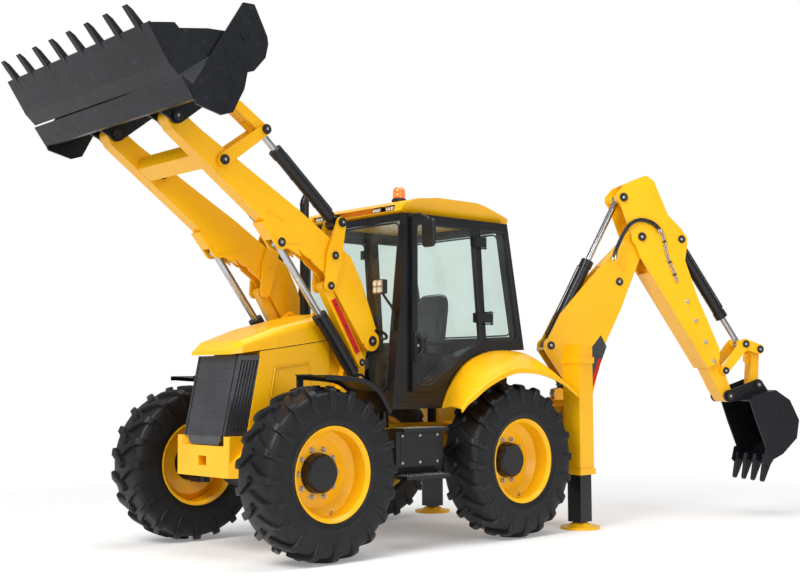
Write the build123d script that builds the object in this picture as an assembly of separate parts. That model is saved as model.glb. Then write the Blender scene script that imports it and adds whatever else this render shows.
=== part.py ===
"""Backhoe loader with equal wheels, all-wheel steering and a side-shift backhoe, in millimetres.

Datum used while modelling: X runs forward from the rear axle, Y to the machine's left from its
centre plane, Z up from the ground. shift_to_origin() then moves every piece to the origin, which
is the middle of the bottom of the whole machine's bounding box, with the arms and the backhoe
parked as they are drawn here. Places in a plane are (x, z) pairs; the backhoe's are (s, z), with s
measured backward from its slew post in the plane that the boom swings in.
"""
from build123d import *
import os
from math import atan2, cos, degrees, hypot, radians, sin

# Origin, from the datum
ORIGIN_X = 160.0
ORIGIN_Y = 380.0

# Running gear
WHEELBASE = 2220.0
TYRE_RADIUS = 700.0
TREAD_DEPTH = 34.0
TYRE_WIDTH = 430.0
TREAD_WIDTH = 390.0
RIM_RADIUS = 381.0
RIM_WIDTH = 380.0
RIM_WALL = 12.0
WHEEL_Y = 965.0
DISC_Y = 935.0
HUB_RADIUS = 165.0
HUB_FACE_Y = 1085.0
KINGPIN_Y = 700.0
KINGPIN_RADIUS = 38.0
LUGS_PER_SIDE = 20
LUG_THICKNESS = 46.0
LUG_SLANT = 38.0
STEER_LIMIT = 18.0

# Running clearances
PIN_CLEARANCE = 0.5
PLATE_CLEARANCE = 8.0
FIT = 0.3
SLIDE_CLEARANCE = 0.4

# Chassis
RAIL_Y = 330.0
RAIL_WIDTH = 70.0
RAIL_HEIGHT = 210.0
RAIL_BOTTOM = 800.0
RAIL_FRONT = WHEELBASE + 260.0
RAIL_REAR = -830.0
TANK_GAP = 135.0
AXLE_RADIUS = 95.0
TOW_X = WHEELBASE + 420.0
TOW_PIN_RADIUS = 20.0
LIFTING_EYE_RADIUS = 15.0
TOWER_Y = 364.0
TOWER_WIDTH = 68.0

# Loader linkage, places at rest
ARM_Y = 470.0
ARM_WIDTH = 130.0
ARM_PLATE = 18.0
LEVER_PLATE = 22.0
ARM_PIVOT = (1290.0, 1782.0)
LINK_FOOT = (1385.0, 1593.0)
LEVER_PIVOT = (1729.0, 2509.0)
LINK_TOP = (1778.0, 2245.0)
TILT_FOOT = (1651.0, 2802.0)
TILT_EYE = (2458.0, 3508.0)
FRONT_LEVER_PIVOT = (2868.0, 3206.0)
BUCKET_PIVOT = (3310.0, 3500.0)
LIFT_FOOT = (1405.0, 1440.0)
LIFT_EYE = (2274.0, 2588.0)
LIFT_RANGE = 74.0
TILT_RANGE = 92.0
CLAM_RANGE = 70.0
PIN_RADIUS = 30.0
BOSS_RADIUS = 58.0
LIFT_TUBE_RADIUS = 58.0
LIFT_ROD_RADIUS = 32.0
LIFT_TUBE_LENGTH = 690.0
TILT_TUBE_RADIUS = 52.0
TILT_ROD_RADIUS = 28.0
TILT_TUBE_LENGTH = 850.0

# Loader bucket, in its own level frame: x forward and z up from the blade's cutting edge
BUCKET_EDGE = (3650.0, 3640.0)
BUCKET_ROLLBACK = 54.0
BUCKET_HALF_WIDTH = 1190.0
SHIELD_PLATE = 20.0
CLAM_HALF_WIDTH = 1158.0
CLAM_HINGE = (6.0, 672.0)
TOOTH_COUNT = 8
TOOTH_PITCH = 290.0

# Front of the machine
BONNET_HALF_WIDTH = 352.0
BONNET_REAR = 1620.0
BONNET_SKIN = 8.0
BONNET_OPEN = 50.0
BONNET_HINGE = (1620.0, 2050.0)

# Cab
CAB_HALF_WIDTH = 750.0
CAB_WALL = 50.0
CAB_FLOOR = 1200.0
CAB_TOP = 2925.0
DOOR_THICKNESS = 30.0
DOOR_FRONT = 1020.0
DOOR_OPEN = 80.0
DOOR_HINGE_LOW = (50.0, 2010.0)
DOOR_HINGE_HIGH = (130.0, 2715.0)
DOOR_HINGE_Y = 812.0
DOOR_PIN_RADIUS = 8.0

# Stabilisers and backhoe frame
LEG_X = -935.0
LEG_Y = 1030.0
LEG_DEPTH = 205.0
LEG_WIDTH = 200.0
LEG_WALL = 14.0
LEG_TOP = 1770.0
LEG_BOTTOM = 520.0
LEG_TRAVEL = 450.0
FOOT_RADIUS = 190.0
SLEW_X = -1360.0
CARRIAGE_Y = 550.0
SHIFT_TRAVEL = 1100.0
SLEW_REST = 27.0
RAIL_UPPER_Z = 1120.0
RAIL_LOWER_Z = 520.0

# Backhoe linkage, (s, z) at rest
BOOM_FOOT = (100.0, 930.0)
BOOM_HEAD = (783.0, 2910.0)
BOOM_RAM_FOOT = (-120.0, 1290.0)
BOOM_RAM_EYE = (547.0, 2442.0)
DIPPER_RAM_FOOT = (-222.0, 1780.0)
DIPPER_RAM_EYE = (583.0, 3318.0)
BUCKET_RAM_FOOT = (1243.0, 2897.0)
BUCKET_RAM_EYE = (1967.0, 1800.0)
TIP_PIVOT = (1718.0, 1519.0)
TIP_LINK_TOP = (2137.0, 1745.0)
TIP_LINK_FOOT = (2110.0, 1370.0)
HOE_BUCKET_PIVOT = (1771.0, 1252.0)
BOOM_HALF_WIDTH = 100.0
BOOM_PLATE = 20.0
DIPPER_HALF_WIDTH = 150.0
DIPPER_PLATE = 20.0
EXTENSION_HALF_WIDTH = 108.0
EXTENSION_DEPTH = 150.0
EXTENSION_SLOPE = -63.0
HOE_PIN_RADIUS = 30.0
HOE_BOSS_RADIUS = 62.0
HOE_BUCKET_HALF_WIDTH = 300.0
HOE_TEETH = 4
BOOM_RAISE = 12.0
BOOM_LOWER = 66.0
DIPPER_CROWD = 22.0
DIPPER_REACH = 80.0
HOE_CURL = 65.0
HOE_DUMP = 52.0
RAM_TUBE_RADIUS = 58.0
RAM_ROD_RADIUS = 32.0
RAM_WALL = 11.0
BOOM_TUBE_LENGTH = 900.0
DIPPER_TUBE_LENGTH = 980.0
BUCKET_TUBE_LENGTH = 960.0


# Plane geometry
def turned(point, centre, angle):
    """The (x, z) point after turning it by angle degrees about centre."""
    dx, dz = point[0] - centre[0], point[1] - centre[1]
    c, s = cos(radians(angle)), sin(radians(angle))
    return (centre[0] + c * dx - s * dz, centre[1] + s * dx + c * dz)


def distance(p, q):
    """Distance between two places in a plane."""
    return hypot(q[0] - p[0], q[1] - p[1])


def direction(p, q):
    """Direction from p to q in degrees."""
    return degrees(atan2(q[1] - p[1], q[0] - p[0]))


def along(p, q, length, side=0.0):
    """The place at length from p toward q, moved side to the left of that line."""
    ux, uz = (q[0] - p[0]) / distance(p, q), (q[1] - p[1]) / distance(p, q)
    return (p[0] + ux * length - uz * side, p[1] + uz * length + ux * side)


# The bucket link is parallel to the line between its two levers' pivots on the arm
BUCKET_LINK_PIN = (BUCKET_PIVOT[0] + TILT_EYE[0] - FRONT_LEVER_PIVOT[0],
                   BUCKET_PIVOT[1] + TILT_EYE[1] - FRONT_LEVER_PIVOT[1])


# Solids
def block(x0, x1, y0, y1, z0, z1):
    """A box between two corners."""
    centre = Pos((x0 + x1) / 2, (y0 + y1) / 2, (z0 + z1) / 2)
    return centre * Box(abs(x1 - x0), abs(y1 - y0), abs(z1 - z0))


def plate(points, y0, y1):
    """An (x, z) outline extruded from y0 to y1."""
    face = make_face(Polyline(*[(x, y0, z) for x, z in points], close=True))
    return extrude(face, amount=y1 - y0, dir=(0, 1, 0))


def plan(points, z0, z1):
    """An (x, y) outline extruded from z0 to z1."""
    face = make_face(Polyline(*[(x, y, z0) for x, y in points], close=True))
    return extrude(face, amount=z1 - z0, dir=(0, 0, 1))


def disc(place, radius, y0, y1):
    """A round boss, pin or bore across the machine at an (x, z) place."""
    return Pos(place[0], (y0 + y1) / 2, place[1]) * Rot(90, 0, 0) * Cylinder(radius, abs(y1 - y0))


def post(x, y, radius, z0, z1):
    """An upright cylinder."""
    return Pos(x, y, (z0 + z1) / 2) * Cylinder(radius, z1 - z0)


def tube_to(start, end, radius):
    """A round bar between two places in space."""
    axis = Vector(*end) - Vector(*start)
    return extrude(Plane(origin=start, z_dir=axis) * Circle(radius), amount=axis.length)


def bar(p, q, radius_p, radius_q, y0, y1):
    """A flat bar between two (x, z) places with round ends."""
    outline = [along(p, q, 0, radius_p), along(p, q, distance(p, q), radius_q),
               along(p, q, distance(p, q), -radius_q), along(p, q, 0, -radius_p)]
    return plate(outline, y0, y1) + disc(p, radius_p, y0, y1) + disc(q, radius_q, y0, y1)


def band(points, thickness):
    """The outline of a bent sheet: an (x, z) polyline and its copy at thickness to the right."""
    inner = []
    for count, point in enumerate(points):
        before, after = points[max(count - 1, 0)], points[min(count + 1, len(points) - 1)]
        inner.append(along(point, (point[0] + after[0] - before[0], point[1] + after[1] - before[1]), 0, -thickness))
    return list(points) + inner[::-1]


def revolved(profile, y):
    """A (y, r) profile turned about the Y axis, at y."""
    face = make_face(Polyline(*[(0, v, r) for v, r in profile], close=True))
    return Pos(0, y, 0) * revolve(face, axis=Axis.Y)


def mirrored(shape):
    """The same shape on the machine's other side."""
    return mirror(shape, about=Plane.XZ)


def both_sides(shape):
    """A shape and its mirror image as separate solids."""
    return Compound([*shape.solids(), *mirrored(shape).solids()])


def ram(foot, eye, tube_length, tube_radius, rod_radius, y, boss_width, spare):
    """A hydraulic ram's tube and rod, foot to eye, in the plane at y; spare is how far it can still extend."""
    reach = distance(foot, eye)
    piston = tube_length - 45 - spare

    def cylinder(start, end, radius):
        p, q = along(foot, eye, start), along(foot, eye, end)
        return tube_to((p[0], y, p[1]), (q[0], y, q[1]), radius)

    half = boss_width / 2
    bore = tube_radius - RAM_WALL
    tube = cylinder(75, tube_length, tube_radius) + disc(foot, BOSS_RADIUS, y - half, y + half)
    tube += cylinder(30, 90, 36)
    tube += cylinder(tube_length - 60, tube_length + 14, tube_radius + 8)
    tube -= cylinder(87, tube_length - 40, bore)
    tube -= cylinder(tube_length - 45, tube_length + 40, rod_radius + PIN_CLEARANCE)
    tube -= disc(foot, PIN_RADIUS + PIN_CLEARANCE, y - half, y + half)
    rod = cylinder(piston - 50, reach, rod_radius) + disc(eye, rod_radius + 12, y - 28, y + 28)
    rod += cylinder(piston - 50, piston, bore - PIN_CLEARANCE)
    return tube, rod


# Running gear
TYRE_PROFILE = [(175, 358), (175, 385), (196, 392), (214, 450), (215, 540), (203, 620), (190, 655), (0, 668)]


def tyre():
    """A traction tyre whose slanted lugs alternate from side to side."""
    profile = TYRE_PROFILE + [(-y, r) for y, r in reversed(TYRE_PROFILE[:-1])]
    carcass = revolved(profile, 0)
    half, shift = LUG_THICKNESS / 2, LUG_SLANT
    outline = [(-shift - half, 4), (-shift + half, 4), (shift + half, TREAD_WIDTH / 2),
               (shift - half, TREAD_WIDTH / 2)]
    top = TYRE_RADIUS - 3
    lug = plan(outline, TYRE_RADIUS - TREAD_DEPTH - 30, top)
    pitch = 360 / LUGS_PER_SIDE
    lugs = []
    for count in range(LUGS_PER_SIDE):
        lugs.append(Rot(0, count * pitch, 0) * lug)
        lugs.append(Rot(0, (count + 0.5) * pitch, 0) * mirrored(lug))
    return carcass.fuse(*lugs)


def wheel_disc():
    """The rim, its dished disc and the hub with its cover."""
    seat = TYRE_PROFILE[0][1] - 0.3
    disc_y, half = DISC_Y - WHEEL_Y, RIM_WIDTH / 2
    inner = seat - RIM_WALL
    profile = [(-half, RIM_RADIUS), (-half + 14, RIM_RADIUS), (-half + 14, seat), (half - 14, seat),
               (half - 14, RIM_RADIUS), (half, RIM_RADIUS), (half, RIM_RADIUS - 12), (half - 24, inner),
               (disc_y + 60, inner), (disc_y + 8, inner - 70), (disc_y + 8, HUB_RADIUS - 15),
               (disc_y - 8, HUB_RADIUS - 15), (disc_y - 8, inner - 60), (disc_y + 30, inner),
               (-half + 24, inner), (-half, RIM_RADIUS - 12)]
    hub_face = HUB_FACE_Y - WHEEL_Y - 53
    hub = [(hub_face, 0), (hub_face, HUB_RADIUS - 30), (hub_face - 20, HUB_RADIUS - 10),
           (disc_y + 10, HUB_RADIUS - 6), (disc_y - 30, HUB_RADIUS - 6), (disc_y - 92, 118), (disc_y - 92, 0)]
    return revolved(profile, 0) + revolved(hub, 0)


def wheel_parts(x, side):
    """The tyre and the rim of one wheel, side is 1 on the left."""
    stub = disc((0, 0), 50 + PIN_CLEARANCE, DISC_Y - WHEEL_Y - 120, DISC_Y - WHEEL_Y + 5)
    rim = wheel_disc() - stub
    pieces = []
    for piece in (tyre(), rim):
        piece = piece if side > 0 else mirrored(piece)
        pieces.append(Pos(x, side * WHEEL_Y, TYRE_RADIUS) * piece)
    return pieces


def knuckle(x, side, fender):
    """A steering knuckle: yoke, kingpins, stub axle and, in front, the fender that turns with it."""
    centre = (x, TYRE_RADIUS)
    outer = DISC_Y - 97
    body = disc(centre, 105, KINGPIN_Y + 85, outer) + disc(centre, 50, outer, DISC_Y - 5)
    for level in (-1, 1):
        z0, z1 = TYRE_RADIUS + level * 122, TYRE_RADIUS + level * 165
        body += block(x - 60, x + 60, KINGPIN_Y, KINGPIN_Y + 125, z0, z1)
        body += post(x, KINGPIN_Y, 60, min(z0, z1), max(z0, z1))
        body += post(x, KINGPIN_Y, KINGPIN_RADIUS, *sorted((TYRE_RADIUS + level * 80, z1)))
    body += block(x - 60, x + 60, KINGPIN_Y + 90, KINGPIN_Y + 125, TYRE_RADIUS - 165, TYRE_RADIUS + 165)
    if fender:
        body += front_fender(x)
    return body if side > 0 else mirrored(body)


FENDER_LINE = [(75, 782), (-17, 780), (-334, 748), (-506, 650), (-627, 478)]


def front_fender(x):
    """The bent guard over a front wheel, on an upright stay from the knuckle."""
    inner, outer = KINGPIN_Y + 70, WHEEL_Y + 185
    line = [(x + dx, TYRE_RADIUS + dz) for dx, dz in FENDER_LINE]
    guard = plate(band(line, -8), inner, outer)
    y0 = KINGPIN_Y
    top = TYRE_RADIUS + FENDER_LINE[1][1]
    stay = block(x - 25, x + 25, y0, y0 + 30, TYRE_RADIUS + 140, top + 4)
    shelf = block(x - 60, x + 40, y0, inner + 40, top, top + 8)
    return guard + stay + shelf


def axles():
    """Front and rear steering axles: beam, differential housing and trunnions for the knuckles."""
    housings = []
    for x, inward in ((WHEELBASE, -230), (0.0, 230)):
        centre = (x, TYRE_RADIUS)
        beam = disc(centre, AXLE_RADIUS, -KINGPIN_Y + 60, KINGPIN_Y - 60)
        beam += disc(centre, 165, -190, 150)
        beam += tube_to((x, -20, TYRE_RADIUS), (x + inward, -20, TYRE_RADIUS), 90)
        for side in (-1, 1):
            y = side * KINGPIN_Y
            beam += post(x, y, 66, TYRE_RADIUS - 116, TYRE_RADIUS + 116)
            for z0, z1 in ((-116, -78), (78, 116)):
                beam -= post(x, y, KINGPIN_RADIUS + PIN_CLEARANCE, TYRE_RADIUS + z0, TYRE_RADIUS + z1)
            seat_y = side * (RAIL_Y + RAIL_WIDTH / 2)
            beam += block(x - 90, x + 90, seat_y - 30, seat_y + 30, TYRE_RADIUS, RAIL_BOTTOM)
        housings += beam.solids()
    return Compound(housings)


# Chassis
def main_frame():
    """Welded frame: two rails, cross members and the two towers that carry the loader."""
    top = RAIL_BOTTOM + RAIL_HEIGHT
    frame = block(RAIL_REAR, RAIL_FRONT, RAIL_Y, RAIL_Y + RAIL_WIDTH, RAIL_BOTTOM, top)
    frame += mirrored(frame)
    for x0, x1 in ((RAIL_REAR, RAIL_REAR + 40), (-500, -440), (560, 640), (1180, 1280), (1500, 1560),
                   (RAIL_FRONT - 40, RAIL_FRONT)):
        frame += block(x0, x1, -RAIL_Y - 5, RAIL_Y + 5, RAIL_BOTTOM + 20, top - 20)
    y0, y1 = TOWER_Y - TOWER_WIDTH / 2, TOWER_Y + TOWER_WIDTH / 2
    outline = [(1140, top - 30), (1560, top - 30), (1540, 1360), (1470, 1610), (1385, 1830), (1290, 1872),
               (1205, 1810), (1252, 1600), (1262, 1175), (1140, 1175)]
    tower = plate(outline, y0, y1)
    pin_end = ARM_Y + ARM_WIDTH / 2 + 12
    tower += disc(ARM_PIVOT, 45, y0, pin_end)
    tower += disc(LINK_FOOT, PIN_RADIUS, y0, ARM_Y + 48)
    tower += disc(LIFT_FOOT, PIN_RADIUS, y0, ARM_Y + 48)
    frame += tower + mirrored(tower)
    frame += block(1330, 1430, -y0 - 5, y0 + 5, 1180, 1290)
    return frame


def engine_block():
    """The engine as one plain mass on its mounts between the rails."""
    rear, front = BONNET_REAR + 80, WHEELBASE + 70
    engine = block(rear, front, -235, 235, 960, 1560)
    for x in (rear + 40, front - 90):
        engine += block(x, x + 70, -RAIL_Y + 0.3, RAIL_Y - 0.3, 970, 1000)
    return engine


def arch(x, half_width, z_low, z_top, radius):
    """A section across the machine at x: flat below, with two round upper corners."""
    w, r = half_width, radius
    k = r * (1 - cos(radians(45)))
    edges = [Line((x, w, z_top - r), (x, w, z_low)), Line((x, w, z_low), (x, -w, z_low)),
             Line((x, -w, z_low), (x, -w, z_top - r)),
             ThreePointArc((x, -w, z_top - r), (x, -w + k, z_top - k), (x, -w + r, z_top)),
             Line((x, -w + r, z_top), (x, w - r, z_top)),
             ThreePointArc((x, w - r, z_top), (x, w - k, z_top - k), (x, w, z_top - r))]
    return make_face(edges)


def engine_panels():
    """Side panels below the bonnet with pressed recesses, the bulkhead and the cowl behind the bonnet."""
    low = RAIL_BOTTOM + RAIL_HEIGHT + 0.3
    y0, y1 = BONNET_HALF_WIDTH - 20, BONNET_HALF_WIDTH
    foot, head = WHEELBASE + 262, WHEELBASE + 125
    outline = [(BONNET_REAR, low), (foot, low), (head, 1684), (WHEELBASE - 40, 1706), (BONNET_REAR, 1784)]
    recess = [(BONNET_REAR + 180, 1230), (WHEELBASE + 40, 1290), (WHEELBASE - 5, 1560), (BONNET_REAR + 220, 1600)]
    side = plate(outline, y0, y1) - plate(recess, y1 - 8, y1)
    panels = side + mirrored(side)
    panels += plate([(foot - 42, low), (foot, low), (head, 1684), (head - 42, 1684)], -y0 - 5, y0 + 5)
    panels -= plate([(foot - 102, 1120), (foot + 18, 1120), (head + 55, 1600), (head - 65, 1600)], -200, 200)
    half = TOWER_Y - TOWER_WIDTH / 2 - FIT
    cowl = extrude(arch(1258, half, 1320, 2025, 90), amount=354, dir=(1, 0, 0))
    cowl -= extrude(arch(1250, half - 10, 1310, 2017, 84), amount=380, dir=(1, 0, 0))
    for y in (-210, 198):
        cowl += plate([(1560, 2020), (1606, 2020), (1632, 2045), (1610, 2062)], y, y + 12)
        cowl += disc(BONNET_HINGE, 14, y, y + 12) + disc(BONNET_HINGE, 7, y - 26, y + 12)
    return Compound([*panels.solids(), *cowl.solids()])


# Bonnet sections from the back: x, half width, seam height, top height, corner radius
BONNET_SECTIONS = [(BONNET_REAR, BONNET_HALF_WIDTH, 1792, 2025, 90),
                   (WHEELBASE - 40, BONNET_HALF_WIDTH, 1714, 1890, 80),
                   (WHEELBASE + 300, 335, 1668, 1770, 60),
                   (WHEELBASE + 390, 300, 1656, 1690, 20)]


def bonnet():
    """The bonnet's shell, falling to a nose that overhangs the grille."""
    outer = loft([arch(*section) for section in BONNET_SECTIONS], ruled=True)
    inner = []
    for x, half_width, low, top, radius in BONNET_SECTIONS[:-1]:
        inner.append(arch(x, half_width - BONNET_SKIN, low - 1, top - BONNET_SKIN, radius - 6))
    shell = outer - loft(inner, ruled=True)
    for y in (-232, 176):
        shell += plate([(1644, 2014), (1700, 2001), (1700, 2012), (1626, 2063), (1610, 2060)], y, y + 14)
        shell += disc(BONNET_HINGE, 14, y, y + 14)
        shell -= disc(BONNET_HINGE, 7 + PIN_CLEARANCE, y, y + 14)
    return shell


GRILLE_LOW, GRILLE_HIGH = 985.0, 1650.0
GRILLE_SEAMS = 5
GRILLE_RIBS = 6


def grille_outline(z):
    """The grille's plan at height z: it leans forward toward the bottom and narrows to the front."""
    rise = GRILLE_HIGH - z
    rear, front = WHEELBASE + 132 + 0.205 * rise, WHEELBASE + 315 + 0.215 * rise
    return [(rear, 345), (front, 305), (front, -305), (rear, -345)]


def grille():
    """The smooth front panel with its seams and chamfered foot, and the ribbed corner panels."""
    low = [(x, y, GRILLE_LOW) for x, y in grille_outline(GRILLE_LOW)]
    high = [(x, y, GRILLE_HIGH) for x, y in grille_outline(GRILLE_HIGH)]
    core = loft([make_face(Polyline(*low, close=True)), make_face(Polyline(*high, close=True))], ruled=True)
    foot = [(0, 245, GRILLE_LOW + 2), (0, 245, 960), (0, 205, 912), (0, -205, 912), (0, -245, 960),
            (0, -245, GRILLE_LOW + 2)]
    core += Pos(WHEELBASE + 380, 0, 0) * extrude(make_face(Polyline(*foot, close=True)), amount=72, dir=(1, 0, 0))
    for count in range(1, GRILLE_SEAMS + 1):
        z = GRILLE_LOW + (GRILLE_HIGH - GRILLE_LOW) * count / (GRILLE_SEAMS + 1)
        front = grille_outline(z)[1][0]
        core -= block(front - 6, front + 20, -262, 262, z, z + 7)
    (rear_low, _), (front_low, _) = grille_outline(GRILLE_LOW)[:2]
    (rear_high, _), (front_high, _) = grille_outline(GRILLE_HIGH)[:2]
    gap = plate([(front_low - 18, GRILLE_LOW - 1), (front_low + 20, GRILLE_LOW - 1), (front_high + 20, GRILLE_HIGH + 1),
                 (front_high - 18, GRILLE_HIGH + 1)], 268, 282)
    core -= gap
    core -= mirrored(gap)
    for count in range(GRILLE_RIBS):
        part = (count + 1) / (GRILLE_RIBS + 1)
        x_low = rear_low + (front_low - rear_low) * part
        x_high = rear_high + (front_high - rear_high) * part
        groove = plate([(x_low - 7, GRILLE_LOW + 40), (x_low + 7, GRILLE_LOW + 40), (x_high + 7, GRILLE_HIGH - 40),
                        (x_high - 7, GRILLE_HIGH - 40)], 345 - 40 * part - 9, 370)
        core -= groove
        core -= mirrored(groove)
    return core


def nose_weight():
    """The cast front weight under the grille, its outer corners cut down under the lowered arms."""
    rear, front = WHEELBASE + 175, TOW_X + 50
    outline = [(rear, -457), (front - 90, -457), (front, -380), (front, 380), (front - 90, 457), (rear, 457)]
    top = GRILLE_LOW - FIT
    weight = plan(outline, 650, top)
    rails = RAIL_Y + RAIL_WIDTH + 0.3
    weight -= block(rear - 95, RAIL_FRONT + 0.3, -rails, rails, 780, 1100)
    corner = plate([(rear - 5, top + 20), (rear - 5, 898), (front - 165, 898), (front + 30, 730),
                    (front + 30, top + 20)], 388, 500)
    weight -= corner + mirrored(corner)
    weight -= plan([(front - 115, -250), (front + 30, -330), (front + 30, 330), (front - 115, 250)], 905, top + 20)
    weight -= block(front - 130, front + 10, -60, 60, 740, 820)
    weight -= post(TOW_X, 0, TOW_PIN_RADIUS, 640, 1000)
    return weight


def side_boxes():
    """Fuel and hydraulic tanks between the wheels, with the two steps to each door."""
    y0 = RAIL_Y + RAIL_WIDTH + 0.3
    outline = [(y0, 640), (940, 640), (960, 700), (960, 1000), (y0, 1000)]
    rear, front = TYRE_RADIUS + TANK_GAP, WHEELBASE - TYRE_RADIUS - TANK_GAP
    face = make_face(Polyline(*[(rear, y, z) for y, z in outline], close=True))
    tank = extrude(face, amount=front - rear, dir=(1, 0, 0))
    for y1, z in ((1050, 1012), (1080, 612)):
        tank += block(rear + 15, front - 15, 860, y1, z - 12, z + 16)
    for x in (rear + 25, front - 55):
        tank += block(x, x + 30, 900, 930, 600, 660)
    return both_sides(tank)


# Cab
CAB_SIDE = [(1240, 1183), (620, 1183), (560, 1400), (330, 1600), (0, 1700), (-472, 1721), (-250, CAB_TOP),
            (1050, CAB_TOP)]
CAB_INSIDE = [(1184, 1233), (664, 1233), (602, 1440), (362, 1648), (10, 1750), (-418, 1770), (-216, CAB_TOP - 50),
              (1006, CAB_TOP - 50)]
DOOR_OUTLINE = [(DOOR_FRONT, 2880), (DOOR_FRONT + 10, 1335), (780, 1335), (660, 1425), (530, 1485), (390, 1600),
                (232, 1690), (100, 1735), (199, 2880)]
DOOR_WINDOW = [(964, 2825), (972, 1392), (806, 1392), (692, 1478), (560, 1540), (424, 1652), (262, 1744),
               (165, 1775), (246, 2825)]
QUARTER_WINDOW = [(130, 2840), (60, 1800), (-395, 1815), (-228, 2840)]
WINDSCREEN = [(1300, 1330), (1140, 2860), (900, 2860), (1000, 1330)]
REAR_WINDOW = [(-560, 1850), (-420, 2850), (-120, 2850), (-250, 1850)]


def cab_frame():
    """The cab's welded shell: floor, posts and roof ring with its windows cut, with the controls."""
    half, inside = CAB_HALF_WIDTH, CAB_HALF_WIDTH - CAB_WALL
    shell = plate(CAB_SIDE, -half, half)
    shell += block(-472, 640, -520, 520, 1183, 1740)
    shell -= plate(CAB_INSIDE, -inside, inside)
    shell -= block(-418, 700, -470, 470, 1233, 1800)
    shell -= block(-190, 985, -640, 640, CAB_TOP - 60, CAB_TOP + 10)
    inner_door = [(x + (18 if x < 600 else -18), z + (18 if z < 2000 else -18)) for x, z in DOOR_OUTLINE]
    for opening in (inner_door, QUARTER_WINDOW):
        shell -= plate(opening, -half - 5, half + 5)
    shell -= plate(WINDSCREEN, -655, 655)
    shell -= plate(REAR_WINDOW, -620, 620)
    for x in (-300, 1000):
        for side in (-1, 1):
            shell += post(x, side * (RAIL_Y + RAIL_WIDTH / 2), 45, RAIL_BOTTOM + RAIL_HEIGHT + 0.3, 1190)
    shell += block(960, 1130, -170, 170, 1225, 1420) - block(1000, 1200, -130, 130, 1200, 1380)
    for x, z in (DOOR_HINGE_LOW, DOOR_HINGE_HIGH):
        hinge = hinge_pin((x, z), 66, DOOR_PIN_RADIUS)
        for rise in (-60, 50):
            hinge += block(x - 20, x + 42, half - 1, DOOR_HINGE_Y + 14, z + rise, z + rise + 10)
        shell += hinge
        shell += mirrored(hinge)
    column = tube_to((1060, 0, 1400), (868, 0, 1885), 32)
    ring = Pos(865, 0, 1890) * Rot(0, -22, 0) * (Torus(178, 14) + Cylinder(40, 30) + Box(340, 30, 12) + Box(30, 340, 12))
    shell += column + ring
    for y in (-330, 330):
        shell += block(180, 520, y - 70, y + 70, 1225, 1690)
        shell += tube_to((420, y, 1680), (440, y, 1830), 12) + Pos(442, y, 1840) * Sphere(28)
    return shell


def cab_roof():
    """The moulded roof: crown falling to the rear, brow over the windscreen."""
    outline = [(-330, CAB_TOP + 0.3), (1010, CAB_TOP + 0.3), (1075, 2950), (1060, 3010), (940, 3060), (700, 3085),
               (200, 3085), (60, 3065), (-300, 2985)]
    roof = plate(outline, -780, 780)
    cut = [(780, 3200), (780, 3085), (700, 2965), (650, 2900), (900, 2900), (900, 3200)]
    for side in (-1, 1):
        trim = make_face(Polyline(*[(-400, side * y, z) for y, z in cut], close=True))
        roof -= extrude(trim, amount=1600, dir=(1, 0, 0))
    roof -= block(985, 1100, -600, 600, 2955, 3010)
    return roof


def cab_glass():
    """Windscreen, rear window and the two rear quarter panes."""
    lean = 0.3
    front = plate([(1212, 1330 + lean), (1206, 1330 + lean), (1040, 2860 - lean), (1046, 2860 - lean)],
                  -655 + lean, 655 - lean)
    rear = plate([(-434, 1850 + lean), (-428, 1850 + lean), (-246, 2850 - lean), (-252, 2850 - lean)],
                 -620 + lean, 620 - lean)
    pane = plate(QUARTER_WINDOW, CAB_HALF_WIDTH - 26, CAB_HALF_WIDTH - 20)
    return Compound([*front.solids(), *rear.solids(), *pane.solids(), *mirrored(pane).solids()])


def hinge_pin(place, half_height, radius):
    """A pin on the door's leaning hinge line, reaching half_height above and below place."""
    x, z = place
    lean = (DOOR_HINGE_HIGH[0] - DOOR_HINGE_LOW[0]) / (DOOR_HINGE_HIGH[1] - DOOR_HINGE_LOW[1]) * half_height
    return tube_to((x - lean, DOOR_HINGE_Y, z - half_height), (x + lean, DOOR_HINGE_Y, z + half_height), radius)


def door():
    """The left door: frame, pane, handle pod and the two brackets that reach back to its hinge line."""
    y0 = CAB_HALF_WIDTH + 5
    y1 = y0 + DOOR_THICKNESS
    panel = plate(DOOR_OUTLINE, y0, y1) - plate(DOOR_WINDOW, y0, y1)
    panel += plate(DOOR_WINDOW, y0 + 12, y0 + 18)
    panel += block(880, 985, y1 - 5, y1 + 18, 1680, 1800)
    for (x, z), reach in ((DOOR_HINGE_LOW, 190), (DOOR_HINGE_HIGH, 130)):
        panel += block(x - 14, x + reach, DOOR_HINGE_Y - 14, DOOR_HINGE_Y + 14, z - 45, z + 45)
        panel += block(x + 60, x + reach, y0 + 5, DOOR_HINGE_Y, z - 45, z + 45)
        panel -= hinge_pin((x, z), 60, DOOR_PIN_RADIUS + PIN_CLEARANCE)
    return panel


def seat():
    """The suspended operator's seat on its post."""
    base = block(60, 500, -220, 220, 1470, 1530) + block(120, 440, -180, 180, 1233.3, 1480)
    cushion = block(40, 540, -250, 250, 1530, 1640)
    back = plate([(40, 1600), (150, 1640), (60, 2330), (-40, 2330)], -240, 240)
    arms = block(40, 430, -310, -262, 1760, 1800) + block(40, 90, -310, -240, 1620, 1800)
    return base + cushion + back + arms + mirrored(arms)


FENDER_INNER = [(640, 1190), (570, 1340), (470, 1480), (330, 1600), (120, 1680), (-140, 1712), (-440, 1690),
                (-640, 1610), (-800, 1500)]
FENDER_OUTER = [(810, 1190), (735, 1265), (640, 1322), (500, 1410), (300, 1495), (90, 1546), (-220, 1530),
                (-520, 1440), (-760, 1300)]


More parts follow.
